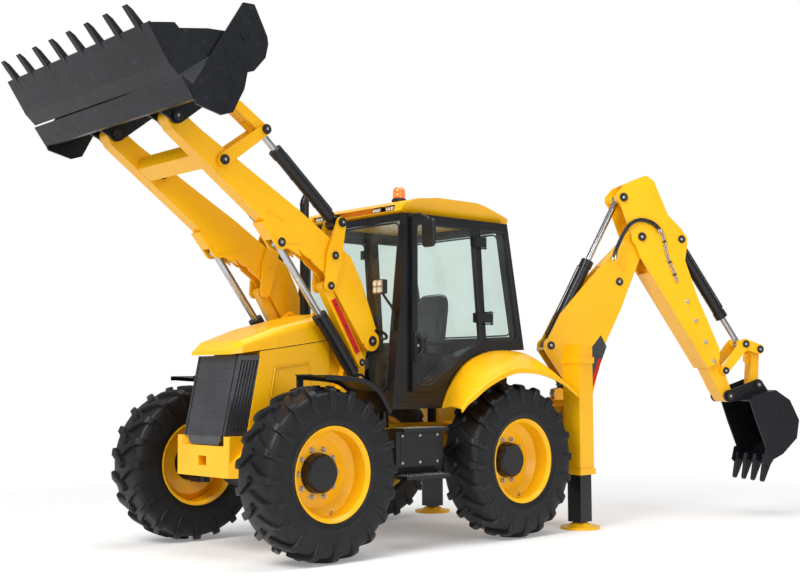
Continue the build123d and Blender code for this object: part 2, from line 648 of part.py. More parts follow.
def rear_fenders():
    """The pair of rear guards, each a skin between its edge on the cab and its lip outside the wheel."""
    skin = 12
    faces = []
    for line, y in ((FENDER_INNER, CAB_HALF_WIDTH + 0.3), (FENDER_INNER, 780), (FENDER_OUTER, 1168),
                    (FENDER_OUTER, 1182)):
        drop = 45 if y == 1182 else 0
        top = [(x, y, z) for x, z in line]
        low = [(x, y, z - skin - drop) for x, z in line]
        faces.append(make_face(Polyline(*top, *low[::-1], close=True)))
    return both_sides(loft(faces, ruled=True))


def cab_fittings():
    """Lamps, beacon, mirrors, exhaust stack and grab rails around the cab."""
    pieces = []
    for side in (-1, 1):
        lamp = block(1345, 1405, side * 750 - 70, side * 750 + 70, 2180, 2310)
        lamp += tube_to((1352, side * 750, 2196), (1180, side * 700, 2060), 12)
        lamp += tube_to((1180, side * 700, 2060), (1190, side * 690, 1890), 12)
        lamp += block(1167, 1205, side * 690 - 20, side * 690 + 20, 1860, 1920)
        pieces.append(lamp)
        mirror_body = block(1090, 1132, side * 1090 - 80, side * 1090 + 80, 2580, 2830)
        mirror_body += tube_to((1110, side * 1090, 2820), (1040, side * 900, 2895), 12)
        mirror_body += tube_to((1040, side * 905, 2895), (1040, side * 750.3, 2895), 12)
        pieces.append(mirror_body)
        for y in (330, 510):
            pieces.append(block(985.3, 1050, side * y - 65, side * y + 65, 2958, 3005))
            pieces.append(block(-392, -330.3, side * y - 65, side * y + 65, 2926, 2978))
    beacon = plate([(757, 3079.4), (907, 3063.8), (907, 3095), (757, 3095)], 325, 475)
    beacon += post(832, 400, 70, 3090, 3112) + post(832, 400, 58, 3105, 3175) + Pos(832, 400, 3170) * Sphere(57)
    pieces.append(beacon)
    stack = post(1430, -250, 42, 2025, 3120) + tube_to((1430, -250, 3100), (1370, -250, 3180), 40)
    pieces.append(stack)
    return Compound([solid for piece in pieces for solid in piece.solids()])


# Loader
ARM_OUTLINE = [(1237, 1893), (1404, 2300), (1524, 2510), (1650, 2590), (2087, 2870), (3070, 3430), (3268, 3561),
               (3376, 3466), (3330, 3400), (2390, 2710), (2160, 2580), (1825, 2360), (1700, 2200), (1388, 1755)]
LUG_PLATES = ((-97, -75), (75, 97))


def loader_arms():
    """The two lift arms with their bosses, the hangers for the lift rams and the cross tube."""
    y0, y1 = ARM_Y - ARM_WIDTH / 2, ARM_Y + ARM_WIDTH / 2
    slot0, slot1 = y0 + ARM_PLATE, y1 - ARM_PLATE
    arm = plate(ARM_OUTLINE, y0, y1) + disc(ARM_PIVOT, 90, y0, y1) + disc(BUCKET_PIVOT, 74, y0, y1)
    hanger = [(2060, 2480), (2205, 2540), (2274, 2526), (2330, 2560), (2480, 2740), (2300, 2830)]
    arm += plate(hanger, y0, y1) + disc(LIFT_EYE, 62, y0, y1)
    arm -= plate([(1560, 1990), (2100, 2430), (2100, 2570), (1900, 2540), (1640, 2230)], slot0, slot1)
    arm -= disc(LIFT_EYE, 92, slot0, slot1)
    for lever_turn in (0, 62):
        arm -= disc(turned(LINK_TOP, LEVER_PIVOT, lever_turn), 42, y0, y1)
    arm -= plate([(2060, 2400), (2274, 2500), (2380, 2480), (2380, 2600), (2180, 2660)], slot0, slot1)
    crease = [(2000, 2620), (2290, 2570), (2370, 2660), (2230, 2800)]
    for side0 in (y0 - 4, y1 - 0.001):
        arm += plate(crease, side0, side0 + 4.001)
    arm -= disc(ARM_PIVOT, 45 + PIN_CLEARANCE, y0, y1)
    for place in (LEVER_PIVOT, FRONT_LEVER_PIVOT, BUCKET_PIVOT):
        arm -= disc(place, PIN_RADIUS + PIN_CLEARANCE, y0, y1)
    arms = arm + mirrored(arm)
    arms += plate([(2975, 3140), (3090, 3230), (3062, 3335), (3013, 3275)], -y0 - 10, y0 + 10)
    return arms


def loader_pins(place):
    """A pair of pins through both plates of a lever or lug, headed outside."""
    y0, y1 = ARM_Y - 105, ARM_Y + 105
    pin = disc(place, PIN_RADIUS, y0, y1) + disc(place, PIN_RADIUS + 12, y1, y1 + 8)
    pin += disc(place, PIN_RADIUS + 12, y0 - 4, y0)
    return both_sides(pin)


def rear_levers():
    """The rear tilt levers: two plates on each arm's pivot, holding the tilt rams' feet at the top."""
    lever = None
    for low, high in LUG_PLATES:
        y0, y1 = sorted((ARM_Y + low, ARM_Y + high))
        piece = bar(LEVER_PIVOT, TILT_FOOT, 80, 50, y0, y1) + bar(LEVER_PIVOT, LINK_TOP, 80, 52, y0, y1)
        lever = piece if lever is None else lever + piece
    for inner in (-75, 75):
        y0, y1 = sorted((ARM_Y + inner, ARM_Y + inner * 45 / 75))
        lever += disc(LINK_TOP, 34, y0, y1)
    lever -= disc(TILT_FOOT, PIN_RADIUS + PIN_CLEARANCE, ARM_Y - 120, ARM_Y + 120)
    lever += disc(LEVER_PIVOT, PIN_RADIUS, ARM_Y - 105, ARM_Y + 105)
    lever += disc(LINK_TOP, 30, ARM_Y + 90, ARM_Y + 105)
    return both_sides(lever)


def levelling_links():
    """The links from the towers to the rear levers, with the stowed safety strut on the outside."""
    y0, y1 = ARM_Y - 40, ARM_Y + 40
    link = bar(LINK_FOOT, LINK_TOP, 44, 46, y0, y1) - disc(LINK_FOOT, PIN_RADIUS + PIN_CLEARANCE, y0, y1)
    p, q = along(LINK_FOOT, LINK_TOP, 90), along(LINK_FOOT, LINK_TOP, 640)
    link += plate([along(p, q, 0, 30), along(p, q, 550, 30), along(p, q, 550, -30), along(p, q, 0, -30)], y1, y1 + 12)
    return both_sides(link)


def front_levers():
    """The front tilt levers, a plate on either side of each arm."""
    plates = []
    for low, high in LUG_PLATES:
        y0, y1 = sorted((ARM_Y + low, ARM_Y + high))
        lever = bar(FRONT_LEVER_PIVOT, TILT_EYE, 55, 46, y0, y1)
        for place in (FRONT_LEVER_PIVOT, TILT_EYE):
            lever -= disc(place, PIN_RADIUS + PIN_CLEARANCE, y0, y1)
        plates.append(lever)
    return both_sides(Compound([solid for lever in plates for solid in lever.solids()]))


def link_pins():
    """Short pins that join the bucket links to the front levers, clear of the tilt rods' eyes."""
    stubs = disc(TILT_EYE, PIN_RADIUS, ARM_Y - 105, ARM_Y - 40) + disc(TILT_EYE, PIN_RADIUS + 10, ARM_Y - 109, ARM_Y - 105)
    others = disc(TILT_EYE, PIN_RADIUS, ARM_Y + 40, ARM_Y + 105) + disc(TILT_EYE, PIN_RADIUS + 12, ARM_Y + 105, ARM_Y + 113)
    return both_sides(Compound([*stubs.solids(), *others.solids()]))


def bucket_links():
    """The links from the front levers to the loader bucket, forked at the lever's end."""
    reach = distance(TILT_EYE, BUCKET_LINK_PIN)
    middle = along(TILT_EYE, BUCKET_LINK_PIN, 0.36 * reach)
    link = bar(middle, BUCKET_LINK_PIN, 44, 48, ARM_Y - 40, ARM_Y + 40)
    tine_end = along(TILT_EYE, BUCKET_LINK_PIN, 0.56 * reach)
    for y0, y1 in ((ARM_Y - 70, ARM_Y - 40), (ARM_Y + 40, ARM_Y + 70)):
        tine = bar(TILT_EYE, tine_end, 46, 42, y0, y1)
        link += tine - disc(TILT_EYE, PIN_RADIUS + PIN_CLEARANCE, y0, y1)
    return both_sides(link)


BUCKET_PLACE = Pos(BUCKET_EDGE[0], 0, BUCKET_EDGE[1]) * Rot(0, -BUCKET_ROLLBACK, 0)
BUCKET_EYE = (-313.0, 193.0)
BUCKET_LINK_EYE = (-310.0, 702.0)
SHIELD = [(-105, 8), (214, 811), (159, 895), (-93, 860), (-148, 832), (-222, 747), (-257, 592), (-238, 532),
          (-330, 430), (-425, 235), (-394, 134), (-225, -12)]
MOULDBOARD = [(0, 0), (-60, 30), (-150, 75), (-190, 120), (-213, 210), (-215, 300), (-200, 430), (-170, 560),
              (-120, 680), (-60, 790)]
BLADE_BACK = [(-78, 800), (-138, 690), (-188, 566), (-218, 434), (-234, 300), (-234, 193), (-216, 60), (-185, -10),
              (0, -10)]


def bucket_blade():
    """The fixed half of the clam bucket: mouldboard, lower box, end plates and the lugs behind."""
    blade = plate(MOULDBOARD + BLADE_BACK, -BUCKET_HALF_WIDTH + 5, BUCKET_HALF_WIDTH - 5)
    shield = plate(SHIELD, BUCKET_HALF_WIDTH - SHIELD_PLATE, BUCKET_HALF_WIDTH)
    shield -= disc(CLAM_HINGE, 34 + PIN_CLEARANCE, BUCKET_HALF_WIDTH - SHIELD_PLATE, BUCKET_HALF_WIDTH)
    blade += shield
    blade += mirrored(shield)
    lug_line = [(-192, 60), (-300, 128), (-378, 200), (-362, 700), (-310, 755), (-75, 796), (-185, 560), (-228, 300)]
    for low, high in LUG_PLATES:
        y0, y1 = sorted((ARM_Y + low, ARM_Y + high))
        lug = plate(lug_line, y0, y1) + disc(BUCKET_EYE, 62, y0, y1) + disc(BUCKET_LINK_EYE, 55, y0, y1)
        face = 75 if low > 0 else -75
        lug += disc(BUCKET_LINK_EYE, 44, *sorted((ARM_Y + face, ARM_Y + face * 0.6)))
        lug -= disc(BUCKET_EYE, PIN_RADIUS + PIN_CLEARANCE, y0, y1)
        blade += lug + mirrored(lug)
    return BUCKET_PLACE * blade


CLAM_CHEEK = [(440, -12), (345, 189), (293, 201), (185, 425), (91, 573), (75, 700), (6, 750), (-62, 700),
              (-50, 600), (12, 300), (14, 8), (130, -30)]


def bucket_clam():
    """The opening jaw: two cheeks, the floor with its cutting edge and the row of teeth."""
    half = CLAM_HALF_WIDTH
    cheek = plate(CLAM_CHEEK, half - SHIELD_PLATE, half)
    jaw = cheek + mirrored(cheek)
    jaw += plate([(14, -6), (130, -30), (440, -14), (440, 10), (130, -8), (14, 16)], -half, half)
    hinge = disc(CLAM_HINGE, 62, half - SHIELD_PLATE, half + 5) + disc(CLAM_HINGE, 34, half, BUCKET_HALF_WIDTH + 6)
    jaw += hinge + mirrored(hinge)
    for count in range(TOOTH_COUNT):
        y = TOOTH_PITCH * (count - (TOOTH_COUNT - 1) / 2)
        jaw += plate([(330, -14), (610, -30), (610, -18), (560, 4), (440, 26), (330, 14)], y - 28, y + 28)
    return BUCKET_PLACE * jaw


# Rear frame and hoe; hoe outlines are given as (distance behind the slew axis, height)
def aft(points):
    """Turns hoe places into (x, z) places of the unturned hoe."""
    return [(-s, z) for s, z in points]


HOE_PLACE = Pos(SLEW_X, CARRIAGE_Y, 0) * Rot(0, 0, -SLEW_REST)


def rear_frame():
    """Cross rails for the carriage, their back plate and the two outer stabiliser legs."""
    frame = block(-1000, -884, -LEG_Y + 60, LEG_Y - 60, RAIL_UPPER_Z - 55, RAIL_UPPER_Z + 55)
    frame += block(-1000, -884, -LEG_Y + 60, LEG_Y - 60, RAIL_LOWER_Z, RAIL_LOWER_Z + 100)
    frame += block(-910, -884, -LEG_Y + 90, LEG_Y - 90, RAIL_LOWER_Z + 50, RAIL_UPPER_Z)
    frame += block(-890, RAIL_REAR - 0.3, -RAIL_Y - RAIL_WIDTH, RAIL_Y + RAIL_WIDTH, 700, 1060)
    for side in (-1, 1):
        y = side * LEG_Y
        leg = block(LEG_X - LEG_DEPTH / 2, LEG_X + LEG_DEPTH / 2, y - LEG_WIDTH / 2, y + LEG_WIDTH / 2,
                    LEG_BOTTOM, LEG_TOP)
        frame += leg
        for z in (LEG_BOTTOM + 30, LEG_TOP - 150):
            frame += block(LEG_X - LEG_DEPTH / 2 - 12, LEG_X + LEG_DEPTH / 2 + 12, y - LEG_WIDTH / 2 - 12,
                           y + LEG_WIDTH / 2 + 12, z - 30, z + 30)
        frame -= block(LEG_X - LEG_DEPTH / 2 + LEG_WALL, LEG_X + LEG_DEPTH / 2 - LEG_WALL, y - LEG_WIDTH / 2 + LEG_WALL,
                       y + LEG_WIDTH / 2 - LEG_WALL, LEG_BOTTOM - 1, LEG_TOP - LEG_WALL)
    return frame


def stabiliser(side):
    """An inner leg with its round foot."""
    y = side * LEG_Y
    half_x, half_y = LEG_DEPTH / 2 - LEG_WALL - 6, LEG_WIDTH / 2 - LEG_WALL - 6
    leg = block(LEG_X - half_x, LEG_X + half_x, y - half_y, y + half_y, 70, 1290)
    pad = 6 - SLIDE_CLEARANCE
    for z in (560, 1200):
        leg += block(LEG_X - half_x - pad, LEG_X + half_x + pad, y - half_y - pad, y + half_y + pad, z, z + 80)
    leg += post(LEG_X, y, FOOT_RADIUS, 0, 26)
    leg += Pos(LEG_X, y, 44) * Cone(FOOT_RADIUS * 0.75, 70, 36)
    return leg


def carriage():
    """The sliding carriage: a back plate hooked over the rails with two lugs for the slew pins."""
    y0, y1 = CARRIAGE_Y - 294, CARRIAGE_Y + 294
    body = block(-1052, -1008, y0, y1, 440, 1235)
    upper, lower = RAIL_UPPER_Z + 55 + SLIDE_CLEARANCE, RAIL_LOWER_Z - SLIDE_CLEARANCE
    body += block(-1030, -940, y0, y1, upper, upper + 58)
    body += block(-1030, -940, y0 + 30, y1 - 30, lower - 58, lower)
    for y in (y0, y1 - 130):
        for z in (RAIL_LOWER_Z + 10, RAIL_UPPER_Z - 45):
            body += block(-1012, -1000 - SLIDE_CLEARANCE, y, y + 130, z, z + 80)
    for z in (440, 700):
        body += plan([(-1040, CARRIAGE_Y - 240), (SLEW_X, CARRIAGE_Y - 95), (SLEW_X, CARRIAGE_Y + 95),
                      (-1040, CARRIAGE_Y + 240)], z, z + 80)
        body += post(SLEW_X, CARRIAGE_Y, 95, z, z + 80)
        body -= post(SLEW_X, CARRIAGE_Y, 45 + PIN_CLEARANCE, z, z + 80)
    for y in (y0 + 60, y1 - 60):
        body += plate([(-1045, 1200), (-1045, 790), (-1150, 770), (-1150, 700), (-1045, 700)], y - 12, y + 12)
    return body


def kingpost():
    """The slewing post: pinned in the carriage's lugs, with the boom's foot and its ram's foot above."""
    king = post(0, 0, 85, 528, 692) + post(0, 0, 45, 440, 780) + post(0, 0, 85, 788, 830)
    king += post(0, 0, 45, 770, 800)
    foot, ram_foot = aft([BOOM_FOOT])[0], aft([BOOM_RAM_FOOT])[0]
    king += plate([(85, 800), (-160, 800), (-185, 930), (-100, 1015), (-20, 1080), (60, 1230), (170, 1340),
                   (175, 1240), (100, 1060), (85, 900)], -68, 68)
    king += disc(foot, 84, -68, 68) + disc(ram_foot, 58, -68, 68)
    king -= disc(ram_foot, 72, -46, 46) + plate([(180, 1190), (40, 1260), (100, 1400), (260, 1400)], -46, 46)
    king += disc(foot, 40, -BOOM_HALF_WIDTH - 12, BOOM_HALF_WIDTH + 12)
    king += disc(ram_foot, PIN_RADIUS, -60, 60)
    return HOE_PLACE * king


BOOM_OUTLINE = [(15, 950), (-97, 1439), (-304, 1747), (-250, 1850), (-113, 2100), (213, 2463), (660, 2899),
                (724, 2984), (868, 2952), (866, 2868), (758, 2629), (562, 2165), (345, 1734), (226, 1264), (205, 1010), (178, 890)]


def boom():
    """The hoe's boom: a deep box that straddles the kingpost at its foot."""
    half, inner = BOOM_HALF_WIDTH, BOOM_HALF_WIDTH - BOOM_PLATE
    beam = plate(aft(BOOM_OUTLINE), -half, half)
    head, foot, eye = aft([BOOM_HEAD, BOOM_FOOT, BOOM_RAM_EYE])
    beam += disc(head, 95, -half, half) + disc(foot, 85, -half, half) + disc(eye, 80, -half, half)
    beam += disc(aft([DIPPER_RAM_FOOT])[0], 75, -half, half)
    beam -= plate(aft([(-40, 800), (-340, 1450), (-330, 1700), (-60, 1980), (330, 2390), (480, 2530), (672, 2470),
                       (490, 2080), (232, 1640), (170, 1260), (260, 1000), (260, 800)]), -inner, inner)
    beam -= disc(eye, 70, -inner, inner)
    beam -= disc(aft([DIPPER_RAM_FOOT])[0], 76, -70, 70)
    beam -= plate(aft([(-158, 1742), (368, 2600), (300, 2700), (-150, 2400), (-400, 1850)]), -70, 70)
    beam -= disc(foot, 40 + PIN_CLEARANCE, -half, half)
    beam -= disc(head, 38 + PIN_CLEARANCE, -half, half)
    for side in (-1, 1):
        y0, y1 = sorted((side * inner, side * 36))
        beam += disc(eye, 52, y0, y1)
    beam += disc(aft([DIPPER_RAM_FOOT])[0], PIN_RADIUS, -half + 2, half - 2)
    return HOE_PLACE * beam


DIPPER_OUTLINE = [(510, 3350), (595, 3447), (848, 3558), (939, 3502), (1093, 3148), (1256, 2995), (1311, 2848),
                  (1279, 2678), (1420, 2281), (1655, 1759), (1658, 1650), (1640, 1602), (1518, 1547), (762, 2709), (643, 3009)]
EXTENSION_AXIS = (cos(radians(EXTENSION_SLOPE)), sin(radians(EXTENSION_SLOPE)))


def on_extension(length, side):
    """A place at length back from the bucket's pin along the extension, side toward the bucket ram."""
    ux, uz = EXTENSION_AXIS
    return (HOE_BUCKET_PIVOT[0] - ux * length - uz * side, HOE_BUCKET_PIVOT[1] - uz * length + ux * side)


def dipper():
    """The outer dipper: a box whose head straddles the boom and whose lower end holds the extension."""
    half, inner = DIPPER_HALF_WIDTH, DIPPER_HALF_WIDTH - DIPPER_PLATE
    beam = plate(aft(DIPPER_OUTLINE), -half, half)
    head, ram_foot, ram_eye = aft([BOOM_HEAD, BUCKET_RAM_FOOT, DIPPER_RAM_EYE])
    beam += disc(head, 110, -half, half) + disc(ram_eye, 70, -half, half) + disc(ram_foot, 68, -half, half)
    beam -= disc(head, 262, -inner, inner)
    beam -= plate(aft([(400, 3540), (600, 3500), (690, 3430), (830, 3180), (700, 2900), (600, 2900)]), -inner, inner)
    beam -= plate(aft([(640, 2560), (855, 2515), (900, 2570), (910, 2720), (700, 3000)]), -inner, inner)
    beam -= disc(ram_foot, 80, -48, 48)
    beam -= plate(aft([(1178, 2872), (1292, 2620), (1450, 2560), (1450, 2800), (1330, 3010)]), -66, 66)
    beam -= plate(aft([on_extension(60, -82), on_extension(60, 82), on_extension(1500, 82), on_extension(1500, -82)]),
                  -EXTENSION_HALF_WIDTH - 7, EXTENSION_HALF_WIDTH + 7)
    beam += disc(head, 38, -half - 10, half + 10)
    beam += disc(ram_foot, PIN_RADIUS, -80, 80)
    for side in (-1, 1):
        y0, y1 = sorted((side * inner, side * 36))
        beam += disc(ram_eye, 50, y0, y1)
        beam += disc(ram_eye, 34, *sorted((side * half, side * (half + 12))))
    return HOE_PLACE * beam


def dipper_extension():
    """The sliding extension, held drawn in, with the pivots of the bucket and of its levers."""
    half, deep = EXTENSION_HALF_WIDTH, EXTENSION_DEPTH / 2
    pivot, tip = aft([HOE_BUCKET_PIVOT, TIP_PIVOT])
    arm = plate(aft([on_extension(0, -58), on_extension(0, 58), on_extension(200, deep), on_extension(1400, deep),
                     on_extension(1400, -deep), on_extension(120, -deep)]), -half, half)
    arm += disc(pivot, 62, -half, half) + disc(tip, 52, -half, half)
    for length in (520, 1250):
        for side in (-1, 1):
            pad = [on_extension(length, side * deep), on_extension(length + 90, side * deep),
                   on_extension(length + 90, side * 82), on_extension(length, side * 82)]
            arm += plate(aft(pad), -80, 80)
    arm -= disc(tip, 28 + PIN_CLEARANCE, -half, half)
    arm -= disc(pivot, 35 + PIN_CLEARANCE, -half, half)
    return HOE_PLACE * arm


def tip_levers():
    """The pair of levers that the bucket ram pushes, one solid with their pin through the dipper."""
    root, top, eye = aft([TIP_PIVOT, TIP_LINK_TOP, BUCKET_RAM_EYE])
    levers = disc(root, 28, -168, 168)
    for side in (-1, 1):
        y0, y1 = sorted((side * 122, side * 146))
        levers += bar(root, eye, 46, 56, y0, y1) + bar(eye, top, 56, 50, y0, y1)
        y0, y1 = sorted((side * 122, side * 36))
        levers += disc(eye, 44, y0, y1)
        y0, y1 = sorted((side * 122, side * 66))
        levers += disc(top, 40, y0, y1)
        for place in (eye, top):
            levers += disc(place, 34, *sorted((side * 146, side * 158)))
    return HOE_PLACE * Compound(levers.solids())


def tip_link():
    """The link between the levers and the hoe bucket's ears, with its lifting eye."""
    foot, top = aft([TIP_LINK_FOOT, TIP_LINK_TOP])
    link = bar(foot, top, 48, 46, -60, 60)
    lug = [along(foot, top, 190, -40), along(foot, top, 250, -100), along(foot, top, 310, -100), along(foot, top, 330, -40)]
    link += plate(lug, -14, 14) - disc(along(foot, top, 280, -72), LIFTING_EYE_RADIUS, -14, 14)
    link -= disc(foot, 28 + PIN_CLEARANCE, -60, 60)
    link -= disc(top, 70, -36, 36)
    return HOE_PLACE * link


HOE_SIDE = [(1912, 1211), (1960, 1250), (2222, 1313), (2386, 1207), (2489, 996), (2457, 808), (2285, 644),
            (2125, 570), (2090, 600), (2097, 690), (1988, 982)]
HOE_SKIN = [(1912, 1211), (1960, 1250), (2222, 1313), (2386, 1207), (2489, 996), (2457, 808), (2285, 644),
            (2110, 560)]


def hoe_bucket():
    """The digging bucket: rolled skin, side plates, ears with the pins' bosses, side cutters and teeth."""
    half = HOE_BUCKET_HALF_WIDTH
    shell = plate(aft(band(HOE_SKIN, 16)), -half, half)
    cheek = plate(aft(HOE_SIDE), half - 18, half)
    cutter = plate(aft([(2075, 700), (2040, 560), (2098, 505), (2160, 585), (2130, 700)]), half, half + 16)
    shell += cheek + mirrored(cheek) + cutter + mirrored(cutter)
    pivot, link_eye = aft([HOE_BUCKET_PIVOT, TIP_LINK_FOOT])
    for side in (-1, 1):
        y0, y1 = sorted((side * 122, side * 148))
        ear = plate(aft([(1740, 1302), (1771, 1190), (1912, 1205), (2222, 1308), (2165, 1390), (2100, 1426)]), y0, y1)
        ear += disc(pivot, 64, y0, y1) + disc(link_eye, 58, y0, y1)
        shell += ear
        y0, y1 = sorted((side * 122, side * 66))
        shell += disc(link_eye, 44, y0, y1)
    shell += disc(pivot, 35, -160, 160)
    shell += disc(link_eye, 28, -160, 160)
    for count in range(HOE_TEETH):
        y = 180 * (count - (HOE_TEETH - 1) / 2)
        shell += plate(aft([(2170, 610), (2060, 372), (2045, 362), (2036, 380), (2080, 640)]), y - 30, y + 30)
    return HOE_PLACE * shell


# Nodes
def loader_rams():
    """The lift rams and the tilt rams, tubes and rods in mirrored pairs."""
    lift = ram(LIFT_FOOT, LIFT_EYE, LIFT_TUBE_LENGTH, LIFT_TUBE_RADIUS, LIFT_ROD_RADIUS, ARM_Y, 96, 0)
    tilt = ram(TILT_FOOT, TILT_EYE, TILT_TUBE_LENGTH, TILT_TUBE_RADIUS, TILT_ROD_RADIUS, ARM_Y, 110, 658)
    return {"lift_tubes": both_sides(lift[0]), "lift_rods": both_sides(lift[1]),
            "tilt_tubes": both_sides(tilt[0]), "tilt_rods": both_sides(tilt[1])}


def hoe_rams():
    """The boom, dipper and bucket rams of the hoe, a tube and a rod each."""
    table = [("boom", BOOM_RAM_FOOT, BOOM_RAM_EYE, BOOM_TUBE_LENGTH, 465),
             ("dipper", DIPPER_RAM_FOOT, DIPPER_RAM_EYE, DIPPER_TUBE_LENGTH, 170),
             ("bucket", BUCKET_RAM_FOOT, BUCKET_RAM_EYE, BUCKET_TUBE_LENGTH, 314)]
    pieces = {}
    for name, foot, eye, length, spare in table:
        tube, rod = ram(*aft([foot, eye]), length, RAM_TUBE_RADIUS, RAM_ROD_RADIUS, 0, 80, spare)
        pieces[name + "_tube"] = HOE_PLACE * tube
        pieces[name + "_rod"] = HOE_PLACE * rod
    return pieces


def build_nodes():
    """Every node of the machine, by name."""
    nodes = {"main_frame": main_frame(), "engine_block": engine_block(), "nose_weight": nose_weight(),
             "grille": grille(), "engine_panels": engine_panels(), "side_boxes": side_boxes(),
             "cab_frame": cab_frame(), "cab_roof": cab_roof(), "cab_glass": cab_glass(), "seat": seat(),
             "rear_fenders": rear_fenders(), "axle_housings": axles(), "rear_frame": rear_frame(),
             "cab_fittings": cab_fittings(), "bonnet": bonnet(),
             "door_left": door(), "door_right": mirrored(door()),
             "loader_arms": loader_arms(), "rear_levers": rear_levers(), "levelling_links": levelling_links(),
             "tilt_foot_pins": loader_pins(TILT_FOOT), "front_lever_pins": loader_pins(FRONT_LEVER_PIVOT),
             "front_levers": front_levers(), "link_pins": link_pins(), "bucket_links": bucket_links(),
             "bucket_pins": loader_pins(BUCKET_PIVOT), "bucket_blade": bucket_blade(),
             "bucket_clam": bucket_clam(), "carriage": carriage(), "kingpost": kingpost(), "boom": boom(),
             "dipper": dipper(), "dipper_extension": dipper_extension(), "tip_levers": tip_levers(),
             "tip_link": tip_link(), "hoe_bucket": hoe_bucket(),
             "stabiliser_left": stabiliser(1), "stabiliser_right": stabiliser(-1)}
    nodes.update(loader_rams())
    nodes.update(hoe_rams())
    for end, x in (("front", WHEELBASE), ("rear", 0.0)):
        for name, side in (("left", 1), ("right", -1)):
            nodes[f"knuckle_{end}_{name}"] = knuckle(x, side, fender=end == "front")
            nodes[f"tyre_{end}_{name}"], nodes[f"rim_{end}_{name}"] = wheel_parts(x, side)
    return nodes


os.makedirs("parts", exist_ok=True)
for node_name, shape in build_nodes().items():
    export_step(Pos(-ORIGIN_X, -ORIGIN_Y, 0) * shape, f"parts/{node_name}.step")
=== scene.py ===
import math

import bmesh
import bpy
import numpy as np
from mathutils import Matrix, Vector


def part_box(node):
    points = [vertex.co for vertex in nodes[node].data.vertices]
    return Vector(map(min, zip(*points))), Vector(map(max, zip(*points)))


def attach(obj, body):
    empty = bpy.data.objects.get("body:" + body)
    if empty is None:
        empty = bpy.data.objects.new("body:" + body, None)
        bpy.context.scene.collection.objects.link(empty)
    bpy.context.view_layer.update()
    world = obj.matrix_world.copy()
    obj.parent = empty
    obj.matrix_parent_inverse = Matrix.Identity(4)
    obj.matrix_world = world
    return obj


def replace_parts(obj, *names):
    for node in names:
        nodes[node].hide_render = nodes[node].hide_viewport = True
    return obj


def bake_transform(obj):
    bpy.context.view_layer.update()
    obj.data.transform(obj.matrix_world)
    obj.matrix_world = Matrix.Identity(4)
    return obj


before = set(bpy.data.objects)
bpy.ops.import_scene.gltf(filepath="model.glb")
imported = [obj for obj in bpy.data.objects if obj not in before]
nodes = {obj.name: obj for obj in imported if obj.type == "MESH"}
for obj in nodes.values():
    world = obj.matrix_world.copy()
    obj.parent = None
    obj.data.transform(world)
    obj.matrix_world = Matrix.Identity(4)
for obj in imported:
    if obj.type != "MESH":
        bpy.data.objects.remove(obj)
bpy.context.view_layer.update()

HANDS = (("left", 1), ("right", -1))


# Rolling gear, all of it alike at the four corners. Each tyre is a cross-ply traction tyre moulded in
# black rubber: two rows of slanted lugs alternate from side to side, wrap over the shoulder and fade
# out on the flank, below which one thin moulded line runs round.
TYRE_REACH = 0.699
LUGS = 20
LUG_STATIONS = 24
TREAD_STATIONS = 144
LUG_WIDTH = 0.072
CARCASS = np.array([(0.174, 0.384), (0.190, 0.388), (0.199, 0.404), (0.2045, 0.430), (0.2045, 0.437),
                    (0.2085, 0.441), (0.2060, 0.446), (0.2075, 0.500), (0.2070, 0.560), (0.202, 0.610),
                    (0.188, 0.642), (0.150, 0.656), (0.080, 0.664), (0.0, 0.667)])
LUG_PATH = np.array([(-0.018, 0.667, 0.0, 1.0, 0.031), (0.040, 0.666, 3.2, 1.0, 0.032),
                     (0.095, 0.662, 6.5, 1.0, 0.033), (0.140, 0.657, 8.6, 1.0, 0.034),
                     (0.176, 0.648, 9.8, 1.0, 0.033), (0.197, 0.628, 10.4, 0.95, 0.021),
                     (0.204, 0.600, 10.8, 0.92, 0.0105), (0.2070, 0.565, 11.0, 0.82, 0.0076),
                     (0.2078, 0.535, 11.1, 0.70, 0.0050), (0.2078, 0.505, 11.2, 0.55, 0.0012)])
LUG_SECTION = np.array([(-1.0, -0.35), (-0.90, 0.72), (-0.80, 1.0), (0.0, 1.03), (0.80, 1.0), (0.90, 0.72),
                        (1.0, -0.35), (0.0, -0.4)])


def grid_faces(rows, columns, round_rows=False, round_columns=False):
    """Quads of a grid of points: corners (i, j), (i, j + 1), (i + 1, j + 1) and (i + 1, j)."""
    i = np.arange(rows if round_rows else rows - 1)[:, None]
    j = np.arange(columns if round_columns else columns - 1)[None, :]
    ahead, beside = (i + 1) % rows, (j + 1) % columns
    corners = (i * columns + j, i * columns + beside, ahead * columns + beside, ahead * columns + j)
    return np.stack(np.broadcast_arrays(*corners), -1).reshape(-1, 4)


def piece(name, points, faces, body, material, sharp=35.0):
    """An object from points and faces. Doubles are merged, normals face out, and edges over sharp degrees
    stay crisp. It rides on the body, if one is given, and takes the material it is given."""
    mesh = bpy.data.meshes.new(name)
    mesh.from_pydata(np.asarray(points, float).reshape(-1, 3).tolist(), [], [list(face) for face in faces])
    shape = bmesh.new()
    shape.from_mesh(mesh)
    bmesh.ops.remove_doubles(shape, verts=shape.verts, dist=1e-6)
    bmesh.ops.dissolve_degenerate(shape, edges=shape.edges, dist=1e-7)
    bmesh.ops.recalc_face_normals(shape, faces=shape.faces)
    shape.to_mesh(mesh)
    shape.free()
    mesh.shade_smooth()
    mesh.set_sharp_from_angle(angle=math.radians(sharp))
    mesh.materials.append(material)
    made = bpy.data.objects.new(name, mesh)
    bpy.context.scene.collection.objects.link(made)
    if body:
        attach(made, body)
    return made


